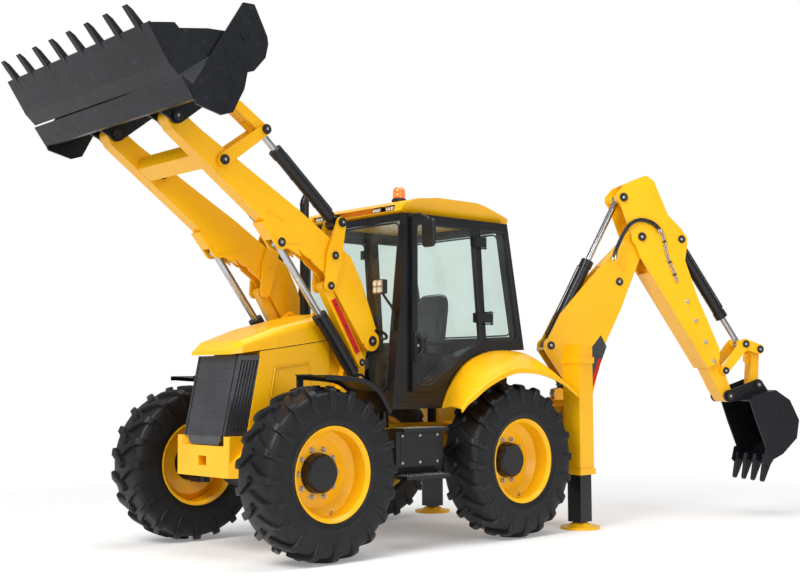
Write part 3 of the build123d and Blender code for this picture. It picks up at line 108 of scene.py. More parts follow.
def grids(name, stacks, body, material, sharp=35.0, round_columns=True):
    """One piece from a grid of points, shaped (rows, columns, 3), or from several grids of one size."""
    stacks = np.asarray(stacks, float)
    rows, columns = stacks.shape[-3:-1]
    count = stacks.size // (3 * rows * columns)
    faces = grid_faces(rows, columns, round_columns=round_columns)
    every = (faces[None] + (np.arange(count) * rows * columns)[:, None, None]).reshape(-1, 4)
    return piece(name, stacks, every, body, material, sharp)


def softened(table, count):
    """The rows of a table joined by Catmull-Rom curves and read at count even steps."""
    table = np.asarray(table, float)
    longer = np.vstack([2 * table[0] - table[1], table, 2 * table[-1] - table[-2]])
    step = np.linspace(0, len(table) - 1, count)
    index = np.minimum(step.astype(int), len(table) - 2)
    t = (step - index)[:, None]
    p0, p1, p2, p3 = (longer[index + k] for k in range(4))
    return 0.5 * (2 * p1 + (p2 - p0) * t + (2 * p0 - 5 * p1 + 4 * p2 - p3) * t ** 2
                  + (3 * p1 - p0 - 3 * p2 + p3) * t ** 3)


def spun(across, radius, angle, centre):
    """Points at a distance across the wheel, a radius from its axle and an angle round it, in radians."""
    return np.stack([centre[0] + radius * np.cos(angle), centre[1] + across + 0 * angle,
                     centre[2] + radius * np.sin(angle)], -1)


def link_noise(tree, scale, detail, place=None):
    """A noise texture on Object coordinates; scale is in waves per metre."""
    if place is None:
        place = tree.nodes.new("ShaderNodeTexCoord").outputs["Object"]
    noise = tree.nodes.new("ShaderNodeTexNoise")
    noise.inputs["Scale"].default_value = scale
    noise.inputs["Detail"].default_value = detail
    tree.links.new(place, noise.inputs["Vector"])
    return noise.outputs["Fac"]


def link_range(tree, value, low, high, to_low, to_high):
    """Carries value from low..high to to_low..to_high, held at the ends."""
    span = tree.nodes.new("ShaderNodeMapRange")
    tree.links.new(value, span.inputs["Value"])
    for name, number in (("From Min", low), ("From Max", high), ("To Min", to_low), ("To Max", to_high)):
        span.inputs[name].default_value = number
    return span.outputs["Result"]


def link_mix(tree, share, first, second):
    """The colour between first and second; each is a colour or another node's output."""
    mix = tree.nodes.new("ShaderNodeMix")
    mix.data_type = "RGBA"
    tree.links.new(share, mix.inputs["Factor"])
    for socket, colour in ((mix.inputs["A"], first), (mix.inputs["B"], second)):
        if isinstance(colour, tuple):
            socket.default_value = (*colour, 1.0)
        else:
            tree.links.new(colour, socket)
    return mix.outputs["Result"]


def link_math(tree, operation, first, second):
    """One step of arithmetic on two numbers or outputs."""
    step = tree.nodes.new("ShaderNodeMath")
    step.operation = operation
    for socket, value in zip(step.inputs, (first, second)):
        if isinstance(value, (int, float)):
            socket.default_value = value
        else:
            tree.links.new(value, socket)
    return step.outputs["Value"]


def link_axis(tree, axis):
    """One Object coordinate, in metres."""
    parts = tree.nodes.new("ShaderNodeSeparateXYZ")
    tree.links.new(tree.nodes.new("ShaderNodeTexCoord").outputs["Object"], parts.inputs["Vector"])
    return parts.outputs[axis]


def link_bump(tree, shader, height, depth):
    """Bump of the given depth in metres from a height between 0 and 1."""
    bump = tree.nodes.new("ShaderNodeBump")
    bump.inputs["Distance"].default_value = depth
    tree.links.new(height, bump.inputs["Height"])
    tree.links.new(bump.outputs["Normal"], shader.inputs["Normal"])


DUST = (0.20, 0.15, 0.09)


def finish(name, light, deep, grain, rough, peel, metallic=0.0, coat=0.0, dust=0.0, specular=0.5):
    """A sprayed, moulded or cast finish. Colour drifts from deep to light with noise of grain waves per
    metre, roughness runs between the two rough values with a finer noise, peel is (waves, depth) of the
    bump, and dust is the most that settles, near the ground."""
    material = bpy.data.materials.new(name)
    material.use_nodes = True
    tree = material.node_tree
    shader = tree.nodes["Principled BSDF"]
    shader.inputs["Metallic"].default_value = metallic
    shader.inputs["Coat Weight"].default_value = coat
    shader.inputs["Coat Roughness"].default_value = 0.10
    shader.inputs["Specular IOR Level"].default_value = specular
    place = tree.nodes.new("ShaderNodeTexCoord").outputs["Object"]
    tone = link_range(tree, link_noise(tree, grain, 4.0, place), 0.35, 0.65, 0.0, 1.0)
    colour = link_mix(tree, tone, deep, light)
    if dust > 0:
        low = link_range(tree, link_axis(tree, "Z"), 0.1, 0.9, dust, 0.0)
        patches = link_range(tree, link_noise(tree, 9.0, 6.0, place), 0.35, 0.7, 0.2, 1.0)
        colour = link_mix(tree, link_math(tree, "MULTIPLY", low, patches), colour, DUST)
    tree.links.new(colour, shader.inputs["Base Color"])
    scuffs = link_range(tree, link_noise(tree, grain * 6, 5.0, place), 0.3, 0.7, *rough)
    tree.links.new(scuffs, shader.inputs["Roughness"])
    link_bump(tree, shader, link_noise(tree, peel[0], 3.0, place), peel[1])
    return material


def link_radius(tree, centre):
    """Distance from an axle that runs across the machine through centre, in metres."""
    away = tree.nodes.new("ShaderNodeVectorMath")
    away.operation = "MULTIPLY_ADD"
    tree.links.new(tree.nodes.new("ShaderNodeTexCoord").outputs["Object"], away.inputs[0])
    away.inputs[1].default_value = (1.0, 0.0, 1.0)
    away.inputs[2].default_value = (-centre[0], 0.0, -centre[2])
    radius = tree.nodes.new("ShaderNodeVectorMath")
    radius.operation = "LENGTH"
    tree.links.new(away.outputs["Vector"], radius.inputs[0])
    return radius.outputs["Value"]


def rubber_finish(name, centre):
    """Black rubber with fine moulding rings: the bump is a sine of the distance from the axle, with a
    fine grain over it."""
    material = finish(name, (0.0072, 0.0076, 0.0092), (0.0042, 0.0045, 0.0055), 5.0, (0.34, 0.52),
                      (300.0, 0.0007), dust=0.02, specular=0.30)
    tree = material.node_tree
    rings = link_math(tree, "SINE", link_range(tree, link_radius(tree, centre), 0.39, 0.67, 0.0, 160.0),
                      0.0)
    height = link_math(tree, "ADD", link_math(tree, "MULTIPLY", rings, 0.10), link_noise(tree, 240.0, 4.0))
    link_bump(tree, tree.nodes["Principled BSDF"], height, 0.0010)
    return material


def tyre_points(centre, side):
    """The carcass is its profile spun about the axle. A lug is a section of width and height carried
    along a path (across, radius, degrees round, share of width, height) on the carcass."""
    half = softened(CARCASS, 40)
    profile = np.vstack([half, (half * (-1, 1))[-2::-1]])
    turn = np.linspace(0, 2 * np.pi, TREAD_STATIONS, endpoint=False)
    carcass = spun(profile[:, 0][:, None], profile[:, 1][:, None], turn[None, :], centre)
    across, radius, swing, width, height = softened(LUG_PATH, LUG_STATIONS).T
    run = np.gradient(np.stack([across, radius], -1), axis=0)
    out = np.stack([-run[:, 1], run[:, 0]], -1) / np.linalg.norm(run, axis=1)[:, None]
    end = np.ones(LUG_STATIONS)
    end[[0, -1]] = 0.0
    reach = LUG_SECTION[:, 0][None] * (width * LUG_WIDTH / 2 * end)[:, None]
    rise = np.where(end[:, None] > 0, LUG_SECTION[:, 1][None] * height[:, None], -0.3 * height[:, None])
    lug_across = across[:, None] + out[:, 0][:, None] * rise
    lug_radius = np.minimum(radius[:, None] + out[:, 1][:, None] * rise, TYRE_REACH)
    turned = np.radians(swing)[:, None] + reach / lug_radius
    lugs = []
    for flank in (-1, 1):
        start = 2 * np.pi * (np.arange(LUGS) + (0.5 if flank > 0 else 0.0)) / LUGS
        lugs.append(spun(np.broadcast_to(flank * lug_across, (LUGS, *reach.shape)),
                         np.broadcast_to(lug_radius, (LUGS, *reach.shape)),
                         start[:, None, None] - side * turned, centre))
    return carcass, np.concatenate(lugs)


wheels = {}
for end in ("front", "rear"):
    for hand, side in HANDS:
        centre = np.mean(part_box(f"tyre_{end}_{hand}"), axis=0)
        wheels[end, hand] = centre
        carcass, lugs = tyre_points(centre, side)
        rows, columns = carcass.shape[:2]
        count, lug_rows, lug_columns = lugs.shape[:3]
        lug_faces = grid_faces(lug_rows, lug_columns, round_columns=True)
        starts = rows * columns + np.arange(count) * lug_rows * lug_columns
        faces = np.vstack([grid_faces(rows, columns, round_columns=True),
                           (lug_faces[None] + starts[:, None, None]).reshape(-1, 4)])
        tyre = piece(f"tyre_{end}_{hand}_moulded", np.vstack([carcass.reshape(-1, 3),
                                                              lugs.reshape(-1, 3)]), faces,
                     f"wheel_{end}_{hand}", rubber_finish(f"tyre rubber {end} {hand}", centre),
                     38.0)
        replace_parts(tyre, f"tyre_{end}_{hand}")


def at(x, y, z):
    """A place given in metres forward of the rear axle, left of the middle and above the ground."""
    axle = (wheels["rear", "left"] + wheels["rear", "right"]) / 2
    return np.stack(np.broadcast_arrays(axle[0] + x, axle[1] + y, np.asarray(z, float)), -1)


def mirrored_at(place, side, ahead=0.0):
    """A place on the left or, with side -1, its mirror image on the right."""
    return at(place[0] + ahead, side * place[1], place[2])


def beside(line, y):
    """A line of (x, z), in metres as for at, carried to y."""
    line = np.asarray(line, float)
    return at(line[:, 0], y, line[:, 1])


# Wheels. A rolled rim with a deep stepped dish in yellow enamel, bolted by ten plated nuts to a black
# planetary hub with a domed, ten-lobed cover; the valve stands low in the dish.
HUB_REACH = 0.163
NUT_CIRCLE = 0.196
NUTS = 10
LOBES = 10
NUT_RINGS = np.array([(0.0, 0.0, 0), (0.66, 0.0, 0), (0.66, 0.14, 0), (0.5, 0.18, 1), (0.5, 0.82, 1),
                      (0.42, 1.0, 0), (0.24, 1.0, 0), (0.24, 1.35, 0), (0.18, 1.42, 0), (0.0, 1.42, 0)])
HUB_COVER = np.array([(-0.026, 0.155), (-0.018, 0.158), (0.004, 0.156), (0.040, 0.150), (0.052, 0.140),
                      (0.054, 0.118), (0.061, 0.112), (0.062, 0.086), (0.057, 0.080), (0.057, 0.030),
                      (0.066, 0.026), (0.068, 0.010), (0.068, 0.0)])
COVER_FLUTED = 0.11
VALVE = [(0.0, 0.0), (0.0, 0.012), (0.006, 0.012), (0.008, 0.006), (0.045, 0.0055), (0.046, 0.008),
         (0.062, 0.008), (0.064, 0.0)]
VALVE_AT, VALVE_WAY = (-0.10, 0.03, -0.335), (0.25, 0.6, 0.7)
YELLOW = (0.94, 0.50, 0.004)
YELLOW_DEEP = (0.88, 0.43, 0.003)
BLACK = (0.0090, 0.0095, 0.0115)
BLACK_DEEP = (0.0050, 0.0053, 0.0065)


def paint(material, *names):
    """Puts a material on CAD nodes."""
    for name in names:
        mesh = nodes[name].data
        mesh.materials.clear()
        mesh.materials.append(material)


def recoloured(material, share, colour):
    """Lays a colour over a finish's own, by share."""
    tree = material.node_tree
    base = tree.nodes["Principled BSDF"].inputs["Base Color"]
    tree.links.new(link_mix(tree, share, base.links[0].from_socket, colour), base)
    return material


def rim_finish(name, centre):
    """Yellow enamel outside the hub's radius and black inside it, by distance from the axle."""
    material = finish(name, YELLOW, YELLOW_DEEP, 2.0, (0.24, 0.38), (180.0, 0.0004), coat=0.15, dust=0.02,
                      specular=0.3)
    tree = material.node_tree
    inside = link_range(tree, link_radius(tree, centre), HUB_REACH, HUB_REACH + 0.001, 1.0, 0.0)
    return recoloured(material, inside, BLACK)


def revolved(profile, centre, axis, count=32):
    """Rings of points: each (along, radius) of the profile turned about the axis through the centre."""
    axis = np.asarray(axis, float) / np.linalg.norm(axis)
    other = np.cross(axis, (0.31, 0.52, 0.79))
    other /= np.linalg.norm(other)
    third = np.cross(axis, other)
    turn = np.linspace(0, 2 * np.pi, count, endpoint=False)[None, :, None]
    along, radius = np.asarray(profile, float).T
    ring = np.cos(turn) * other + np.sin(turn) * third
    return np.asarray(centre, float) + radius[:, None, None] * ring + along[:, None, None] * axis


def nut_points(centre, axis, across, depth):
    """A flanged hexagon nut with a stud end: rings whose radius follows the hexagon's distance from its
    middle at each angle, 1 / cos of the angle from the nearest flat."""
    turn = np.linspace(0, 2 * np.pi, 12, endpoint=False)
    hexagon = 1 / np.cos((turn + np.pi / 6) % (np.pi / 3) - np.pi / 6)
    radius, along, six_sided = NUT_RINGS.T
    points = revolved(np.stack([along * depth, radius * across], -1), centre, axis, 12)
    middle = np.asarray(centre) + (along * depth)[:, None, None] * np.asarray(axis) / np.linalg.norm(axis)
    six = np.where(six_sided[:, None] > 0, hexagon[None], 1.0)[..., None]
    return middle + (points - middle) * six


plated = finish("zinc plated steel", (0.62, 0.60, 0.56), (0.42, 0.40, 0.36), 60.0, (0.22, 0.40),
                (400.0, 0.0002), metallic=1.0)
yellow_paint = finish("yellow enamel", YELLOW, YELLOW_DEEP, 1.3, (0.24, 0.36), (150.0, 0.0004), coat=0.18,
                      dust=0.02, specular=0.3)
black_paint = finish("black enamel", BLACK, BLACK_DEEP, 2.1, (0.28, 0.42), (220.0, 0.0005), coat=0.15,
                     dust=0.03, specular=0.32)

for (end, hand), centre in wheels.items():
    side = 1 if hand == "left" else -1
    body = f"wheel_{end}_{hand}"
    paint(rim_finish(f"wheel enamel {end} {hand}", centre), f"rim_{end}_{hand}")
    turns = 2 * np.pi * np.arange(NUTS) / NUTS
    nuts = [nut_points(centre + np.array((NUT_CIRCLE * math.cos(turn), side * -0.022,
                                          NUT_CIRCLE * math.sin(turn))),
                       (0, side, 0), 0.036, 0.024) for turn in turns]
    grids(f"wheel_nuts_{end}_{hand}", nuts, body, plated)
    rings = revolved(HUB_COVER, centre, (0, side, 0), 60)
    lobes = 1 + 0.012 * np.cos(LOBES * np.linspace(0, 2 * np.pi, 60, endpoint=False))
    middle = centre + (HUB_COVER[:, 0][:, None, None] * np.array((0, side, 0)))
    fluted = np.where(HUB_COVER[:, 1][:, None] > COVER_FLUTED, lobes[None], 1.0)[..., None]
    rings = middle + (rings - middle) * fluted
    grids(f"hub_cover_{end}_{hand}", rings, body, black_paint)
    mirrored = np.array((1, side, 1))
    valve = revolved(VALVE, centre + mirrored * VALVE_AT, mirrored * VALVE_WAY, 12)
    grids(f"tyre_valve_{end}_{hand}", valve, body, plated)


# Axles and frame. Cast axle beams with bolted knuckles, and a welded frame of two rails under the cab
# and engine, all sprayed; the engine stands between the rails as a dull iron casting.
paint(black_paint, "axle_housings", "knuckle_front_left", "knuckle_front_right", "knuckle_rear_left",
      "knuckle_rear_right")
paint(yellow_paint, "main_frame", "rear_frame", "carriage", "kingpost")
paint(finish("cast engine iron", (0.060, 0.058, 0.055), (0.030, 0.029, 0.028), 7.0, (0.5, 0.8),
             (90.0, 0.0018), metallic=0.4, dust=0.1), "engine_block")


# Front guards. Pressed black sheet over the front wheels, carried by the knuckles: the CAD sheet gets
# its turned-down edges, whose bend catches a thin line of light.
GUARD_LINE = np.array([(2.295, 1.482), (2.203, 1.480), (1.886, 1.448), (1.714, 1.350), (1.593, 1.178)])
GUARD_LIP, GUARD_ROLL = 0.040, 0.010
GUARD_FROM, GUARD_TO = 0.7702, 1.1498


def edge_strip(line, y, outward, drop, roll):
    """A sheet edge along a line of (x, z): a quarter round of the roll radius, then straight down."""
    line = softened(line, 48)
    run = np.gradient(line, axis=0)
    run /= np.linalg.norm(run, axis=1)[:, None]
    above = np.stack([run[:, 1], -run[:, 0]], -1) * np.sign(-run[:, :1])
    quarter = np.radians(np.linspace(0, 90, 7))
    side = np.concatenate([[-0.012], roll * np.sin(quarter), [roll, roll - 0.003, roll - 0.003, -0.012]])
    rise = np.concatenate([[0.0], roll * np.cos(quarter) - roll, [-drop, -drop, -roll - 0.003, -0.004]])
    x = line[:, 0][:, None] + above[:, 0][:, None] * rise
    z = line[:, 1][:, None] + above[:, 1][:, None] * rise
    return at(x, y + outward * side[None, :], z)


plastic = finish("black moulded plastic", (0.0105, 0.011, 0.013), (0.0060, 0.0064, 0.0075), 6.0,
                 (0.34, 0.50), (700.0, 0.0004), coat=0.05, specular=0.35)
for hand, side in HANDS:
    lips = [edge_strip(GUARD_LINE, side * (GUARD_TO - GUARD_ROLL), side, GUARD_LIP, GUARD_ROLL),
            edge_strip(GUARD_LINE, side * (GUARD_FROM + GUARD_ROLL), -side, GUARD_LIP, GUARD_ROLL)]
    grids(f"front_guard_lips_{hand}", lips, f"knuckle_front_{hand}", plastic)


# Nose. Bonnet, side panels and cast front weight are sprayed; the grille is one glossy black moulding
# with a ribbed panel at each corner. A rubber strip fills the seam under the bonnet's edge.
SEAM = [(1.630, 1.787), (1.900, 1.750), (2.180, 1.710), (2.343, 1.6885)]
SEAM_Y, PANEL_Y = 0.3485, 0.3505
SIDE_PANEL = [(1.812, 1.242), (2.246, 1.299), (2.204, 1.549), (1.850, 1.587)]


def rounded(outline, radius, steps=5):
    """A closed outline with each corner replaced by a quadratic curve that starts and ends radius away."""
    corner = np.asarray(outline, float)
    before, after = np.roll(corner, 1, 0) - corner, np.roll(corner, -1, 0) - corner
    ends = []
    for way in (before, after):
        length = np.linalg.norm(way, axis=1)[:, None]
        ends.append(corner + way / length * np.minimum(radius, 0.48 * length))
    t = np.linspace(0, 1, steps)[None, :, None]
    curve = (1 - t) ** 2 * ends[0][:, None] + 2 * t * (1 - t) * corner[:, None] + t ** 2 * ends[1][:, None]
    return curve.reshape(-1, corner.shape[1])


def tube_points(path, radius, side, count=12, closed=False):
    """Rings round a path: each ring lies across the path's direction, measured along side and along the
    direction square to it. An open path's ends are closed by rings of no radius."""
    path = np.asarray(path, float)
    if closed:
        run = np.roll(path, -1, 0) - np.roll(path, 1, 0)
        radius = np.full(len(path), radius)
    else:
        run = np.gradient(path, axis=0)
        radius = np.concatenate([[0.0], np.full(len(path), radius), [0.0]])
        path, run = np.pad(path, ((1, 1), (0, 0)), "edge"), np.pad(run, ((1, 1), (0, 0)), "edge")
    across = np.cross(run, np.asarray(side, float))
    across /= np.linalg.norm(across, axis=1)[:, None]
    third = np.cross(across, run)
    third /= np.linalg.norm(third, axis=1)[:, None]
    turn = np.linspace(0, 2 * np.pi, count, endpoint=False)[None, :, None]
    ring = np.cos(turn) * across[:, None] + np.sin(turn) * third[:, None]
    return path[:, None] + radius[:, None, None] * ring


def tubes(name, paths, radius, side, body, material, closed=False, count=12):
    """One piece of tubes along several paths with equally many points."""
    stacks = np.array([tube_points(path, radius, side, count, closed) for path in paths])
    if closed:
        stacks = np.concatenate([stacks, stacks[:, :1]], axis=1)
    return grids(name, stacks, body, material)


rubber = finish("black rubber strip", (0.016, 0.016, 0.017), (0.009, 0.009, 0.010), 9.0, (0.55, 0.75),
                (500.0, 0.0006))
grille_plastic = finish("glossy grille moulding", (0.032, 0.033, 0.037), (0.022, 0.023, 0.026), 4.0,
                        (0.18, 0.30), (260.0, 0.0003), coat=0.5)
paint(yellow_paint, "bonnet", "engine_panels", "nose_weight")
paint(grille_plastic, "grille")
seam = softened(SEAM, 40)
panel = rounded(SIDE_PANEL, 0.02)
tubes("side_panel_beads", [beside(panel, y) for y in (PANEL_Y, -PANEL_Y)], 0.0055, (0, 1, 0),
      "chassis", yellow_paint, closed=True, count=8)
tubes("bonnet_seam_strips", [beside(seam, y) for y in (SEAM_Y, -SEAM_Y)], 0.0035, (0, 1, 0),
      "chassis", rubber)


# Tanks and steps. Folded black tanks hang on the frame between the wheels; each carries two steps with
# a punched, raised-tooth tread and a bolted cover plate on its face.
STEPS = ((1.028, 0.868, 1.042), (0.628, 0.868, 1.072))
STEP_FROM, STEP_TO = 0.862, 1.358
STEP_RIM, TOOTH_INSET = 0.004, 0.02
TANK_COVER = [(0.885, 0.715), (1.335, 0.715), (1.335, 0.985), (0.885, 0.985)]
COVER_BACK, COVER_FACE, BOLT_SEAT = 0.9590, 0.9632, 0.9625
TANK_BOLTS = [(x, z) for x in (0.905, 1.11, 1.315) for z in (0.735, 0.965)]


def pressed(outline, place, low, high, edge=0.002):
    """A plate: its outline stands at two levels, drawn in toward its middle by the edge radius at both
    faces."""
    outline = np.asarray(outline, float)
    middle = outline.mean(axis=0)
    inner = 1 - edge / np.linalg.norm(outline - middle, axis=1).mean()
    lift = math.copysign(edge, high - low)
    share = np.array([0.0, inner, 1.0, 1.0, inner, 0.0])[:, None]
    level = np.array([low, low, low + lift, high - lift, high, high])[:, None] + 0 * outline[:, 0][None]
    first, second = (middle[k] + share * (outline[:, k] - middle[k])[None] for k in (0, 1))
    return place(first, second, level)


def on_side(x, z, y):
    """Places on a plane that faces sideways."""
    return at(x, y, z)


tread_steel = finish("worn tread steel", (0.30, 0.30, 0.29), (0.14, 0.14, 0.14), 40.0, (0.30, 0.55),
                     (300.0, 0.0004), metallic=0.9)
paint(black_paint, "side_boxes")


tooth = revolved([(0.0, 0.013), (0.004, 0.0115), (0.004, 0.0075), (0.0, 0.0065)], (0, 0, 0), (0, 0, 1), 14)
for hand, side in HANDS:
    plates, teeth = [], []
    for level, y0, y1 in STEPS:
        near, far = side * (y0 - STEP_RIM), side * (y1 + STEP_RIM)
        start, stop = STEP_FROM - 0.006, STEP_TO + 0.006
        edge = rounded([(start, near), (stop, near), (stop, far), (start, far)], 0.012)
        plates.append(pressed(edge, at, level - 0.012, level + 0.0015, 0.001))
        x, y = np.meshgrid(np.linspace(STEP_FROM + TOOTH_INSET, STEP_TO - TOOTH_INSET, 14),
                           np.linspace(y0 + TOOTH_INSET, y1 - TOOTH_INSET, 5))
        teeth.append(at(x.ravel(), side * y.ravel(), level)[:, None, None] + tooth[None])
    grids(f"step_plates_{hand}", plates, "chassis", tread_steel)
    grids(f"step_treads_{hand}", np.concatenate(teeth), "chassis", tread_steel)
    cover = pressed(rounded(TANK_COVER, 0.03), on_side, side * COVER_BACK, side * COVER_FACE)
    grids(f"tank_cover_{hand}", cover, "chassis", black_paint)
    bolts = [nut_points(at(x, side * BOLT_SEAT, z), (0, side, 0), 0.020, 0.009) for x, z in TANK_BOLTS]
    grids(f"tank_bolts_{hand}", bolts, "chassis", plated)


# Cab. A welded black safety cab under a yellow moulded roof. Every pane sits in a rubber bead, the doors
# are framed glass with a moulded pod round the handle, and a ribbed sill runs below them.
GLASS_TINT = (0.91, 0.955, 0.935)
PANE_HALF = 0.0045
DOOR_PANE_Y = 0.770
SCREENS = (("windscreen", (1.214, 1.346), (1.047, 2.846), 0.642),
           ("rear_window", (-0.437, 1.864), (-0.255, 2.838), 0.606))
DOOR_WINDOW = [(0.964, 2.825), (0.972, 1.392), (0.806, 1.392), (0.692, 1.478), (0.560, 1.540),
               (0.424, 1.652), (0.262, 1.744), (0.165, 1.775), (0.246, 2.825)]
QUARTER_WINDOW = [(0.130, 2.840), (0.060, 1.800), (-0.395, 1.815), (-0.228, 2.840)]
HANDLE_POD = [(0.905, 1.785), (0.922, 1.665), (0.965, 1.600), (1.012, 1.588), (1.010, 1.860),
              (0.955, 1.868)]
HANDLE = [(0.985, 1.828), (0.955, 1.800), (0.940, 1.745), (0.948, 1.688), (0.985, 1.652)]
LOCK = [(0.0, 0.0), (0.0, 0.014), (0.006, 0.013), (0.007, 0.007), (0.004, 0.006), (0.004, 0.0)]
LOCK_AT = (0.975, 0.8005, 1.742)
DOOR_BEADS, QUARTER_BEADS = (0.7765, 0.7835), (0.733, 0.748)
POD_BACK, POD_FACE, GRIP_Y = 0.784, 0.8015, 0.800
SILL_BACK, SILL_FACE = 0.749, 0.7575
SILL_FROM, SILL_TO, SILL_RIBS, RIB = 0.640, 1.180, (1.215, 1.253, 1.291), 0.022


def link_glass(tree):
    """Safety glass: clear with a green tint, mirror-like at shallow angles, with a film of dust."""
    clear = tree.nodes.new("ShaderNodeBsdfTransparent")
    clear.inputs["Color"].default_value = (*GLASS_TINT, 1.0)
    shine = tree.nodes.new("ShaderNodeBsdfGlossy")
    shine.inputs["Roughness"].default_value = 0.02
    shallow = tree.nodes.new("ShaderNodeLayerWeight").outputs["Facing"]
    mirror = link_math(tree, "MULTIPLY", link_math(tree, "POWER", shallow, 4.0), 0.55)
    glass = tree.nodes.new("ShaderNodeMixShader")
    tree.links.new(link_math(tree, "ADD", mirror, 0.03), glass.inputs["Fac"])
    tree.links.new(clear.outputs["BSDF"], glass.inputs[1])
    tree.links.new(shine.outputs["BSDF"], glass.inputs[2])
    film = tree.nodes.new("ShaderNodeBsdfDiffuse")
    film.inputs["Color"].default_value = (0.42, 0.43, 0.42, 1.0)
    dusty = tree.nodes.new("ShaderNodeMixShader")
    tree.links.new(link_range(tree, link_noise(tree, 3.0, 6.0), 0.35, 0.75, 0.01, 0.05),
                   dusty.inputs["Fac"])
    tree.links.new(glass.outputs["Shader"], dusty.inputs[1])
    tree.links.new(film.outputs["BSDF"], dusty.inputs[2])
    return dusty.outputs["Shader"]


def glass_finish(name):
    """Glass alone."""
    material = bpy.data.materials.new(name)
    material.use_nodes = True
    tree = material.node_tree
    tree.links.new(link_glass(tree), tree.nodes["Material Output"].inputs["Surface"])
    return material


def door_finish(name, pane):
    """Black enamel on the frame and glass on the pane, told apart by the distance from the pane's plane."""
    material = finish(name, BLACK, BLACK_DEEP, 2.1, (0.28, 0.44), (220.0, 0.0005), coat=0.15, specular=0.32)
    tree = material.node_tree
    away = link_math(tree, "ABSOLUTE", link_math(tree, "SUBTRACT", link_axis(tree, "Y"), pane), 0.0)
    share = tree.nodes.new("ShaderNodeMixShader")
    tree.links.new(link_math(tree, "LESS_THAN", away, PANE_HALF), share.inputs["Fac"])
    tree.links.new(tree.nodes["Principled BSDF"].outputs["BSDF"], share.inputs[1])
    tree.links.new(link_glass(tree), share.inputs[2])
    tree.links.new(share.outputs["Shader"], tree.nodes["Material Output"].inputs["Surface"])
    return material


paint(black_paint, "cab_frame")
paint(yellow_paint, "cab_roof")
paint(glass_finish("safety glass"), "cab_glass")
bead = rounded(DOOR_WINDOW, 0.045)
quarter = rounded(QUARTER_WINDOW, 0.05)
for hand, side in HANDS:
    pane = float(at(0, side * DOOR_PANE_Y, 0)[1])
    paint(door_finish(f"glazed door {hand}", pane), f"door_{hand}")
    tubes(f"door_glass_bead_{hand}", [beside(bead, side * y) for y in DOOR_BEADS], 0.006, (0, 1, 0),
          f"door_{hand}", rubber, closed=True)
    tubes(f"quarter_glass_bead_{hand}", [beside(quarter, side * y) for y in QUARTER_BEADS], 0.007,
          (0, 1, 0), "chassis", rubber, closed=True)
    pod = pressed(rounded(HANDLE_POD, 0.03), on_side, side * POD_BACK, side * POD_FACE, 0.008)
    grids(f"door_handle_pod_{hand}", pod, f"door_{hand}", plastic)
    grip = softened(HANDLE, 30)
    lift = 0.022 * np.sin(np.pi * np.linspace(0, 1, 30)) ** 0.5
    tubes(f"door_handle_{hand}", [beside(grip, side * (GRIP_Y + lift))], 0.0085, (0, 1, 0),
          f"door_{hand}", plastic)
    lock = revolved(LOCK, mirrored_at(LOCK_AT, side), (0, side, 0), 24)
    grids(f"door_lock_{hand}", lock, f"door_{hand}", plated)
    rows = [pressed(rounded([(SILL_FROM, z), (SILL_TO, z), (SILL_TO, z + RIB), (SILL_FROM, z + RIB)],
                            0.010),
                    on_side, side * SILL_BACK, side * SILL_FACE, 0.004) for z in SILL_RIBS]
    grids(f"cab_sill_ribs_{hand}", rows, "chassis", black_paint)
for name, foot, top, half in SCREENS:
    corners = rounded([(foot[0], -half, foot[1]), (foot[0], half, foot[1]), (top[0], half, top[1]),
                       (top[0], -half, top[1])], 0.07)
    tubes(f"{name}_bead", [at(*corners.T)], 0.008,
          (top[1] - foot[1], 0, foot[0] - top[0]), "chassis", rubber, closed=True)


# Operator's seat. Two upholstered cushions in woven cloth on a moulded pan, with piping round each, a
# folding arm on either side and a ribbed rubber boot over the suspension.
CUSHION = ((0.290, 0.0, 1.588), (0.235, 0.235, 0.040))
BACK_HALF = (0.300, 0.222, 0.040)
BACK_FOOT, BACK_TOP = (0.105, 1.655), (0.012, 2.300)
PAD_ROWS, PAD_COLUMNS, PAD_POWER = 22, 44, 0.42
PAD_FILL = 0.012
SEAT_ARM, ARM_HALF = (0.235, 0.286, 1.782), (0.190, 0.025, 0.022)
ARM_STAY, STAY_HALF = (0.068, 0.286, 1.700), (0.022, 0.016, 0.085)
BOOT_FOOT = (0.28, 0.0, 1.2336)
SEAT_PAN = ((0.28, 0.0, 1.505), (0.235, 0.225, 0.040))
BOOT = [(0.0, 0.0)] + [(0.030 * k, 0.165 + 0.018 * (k % 2)) for k in range(9)] + [(0.24, 0.0)]


def superform(centre, half, axes, power, rows=PAD_ROWS, columns=PAD_COLUMNS):
    """A rounded block: sphere directions with each cosine and sine raised to a power below one, which
    squares the form, times the half sizes along three axes."""
    up = np.linspace(-np.pi / 2, np.pi / 2, rows)[:, None]
    turn = np.linspace(0, 2 * np.pi, columns, endpoint=False)[None, :]

    def raised(value):
        """The value to the power, with its sign."""
        return np.sign(value) * np.abs(value) ** power

    unit = np.stack([raised(np.cos(up)) * raised(np.cos(turn)), raised(np.cos(up)) * raised(np.sin(turn)),
                     raised(np.sin(up)) + 0 * turn], -1)
    return np.asarray(centre, float) + (unit * np.asarray(half)) @ np.asarray(axes, float)


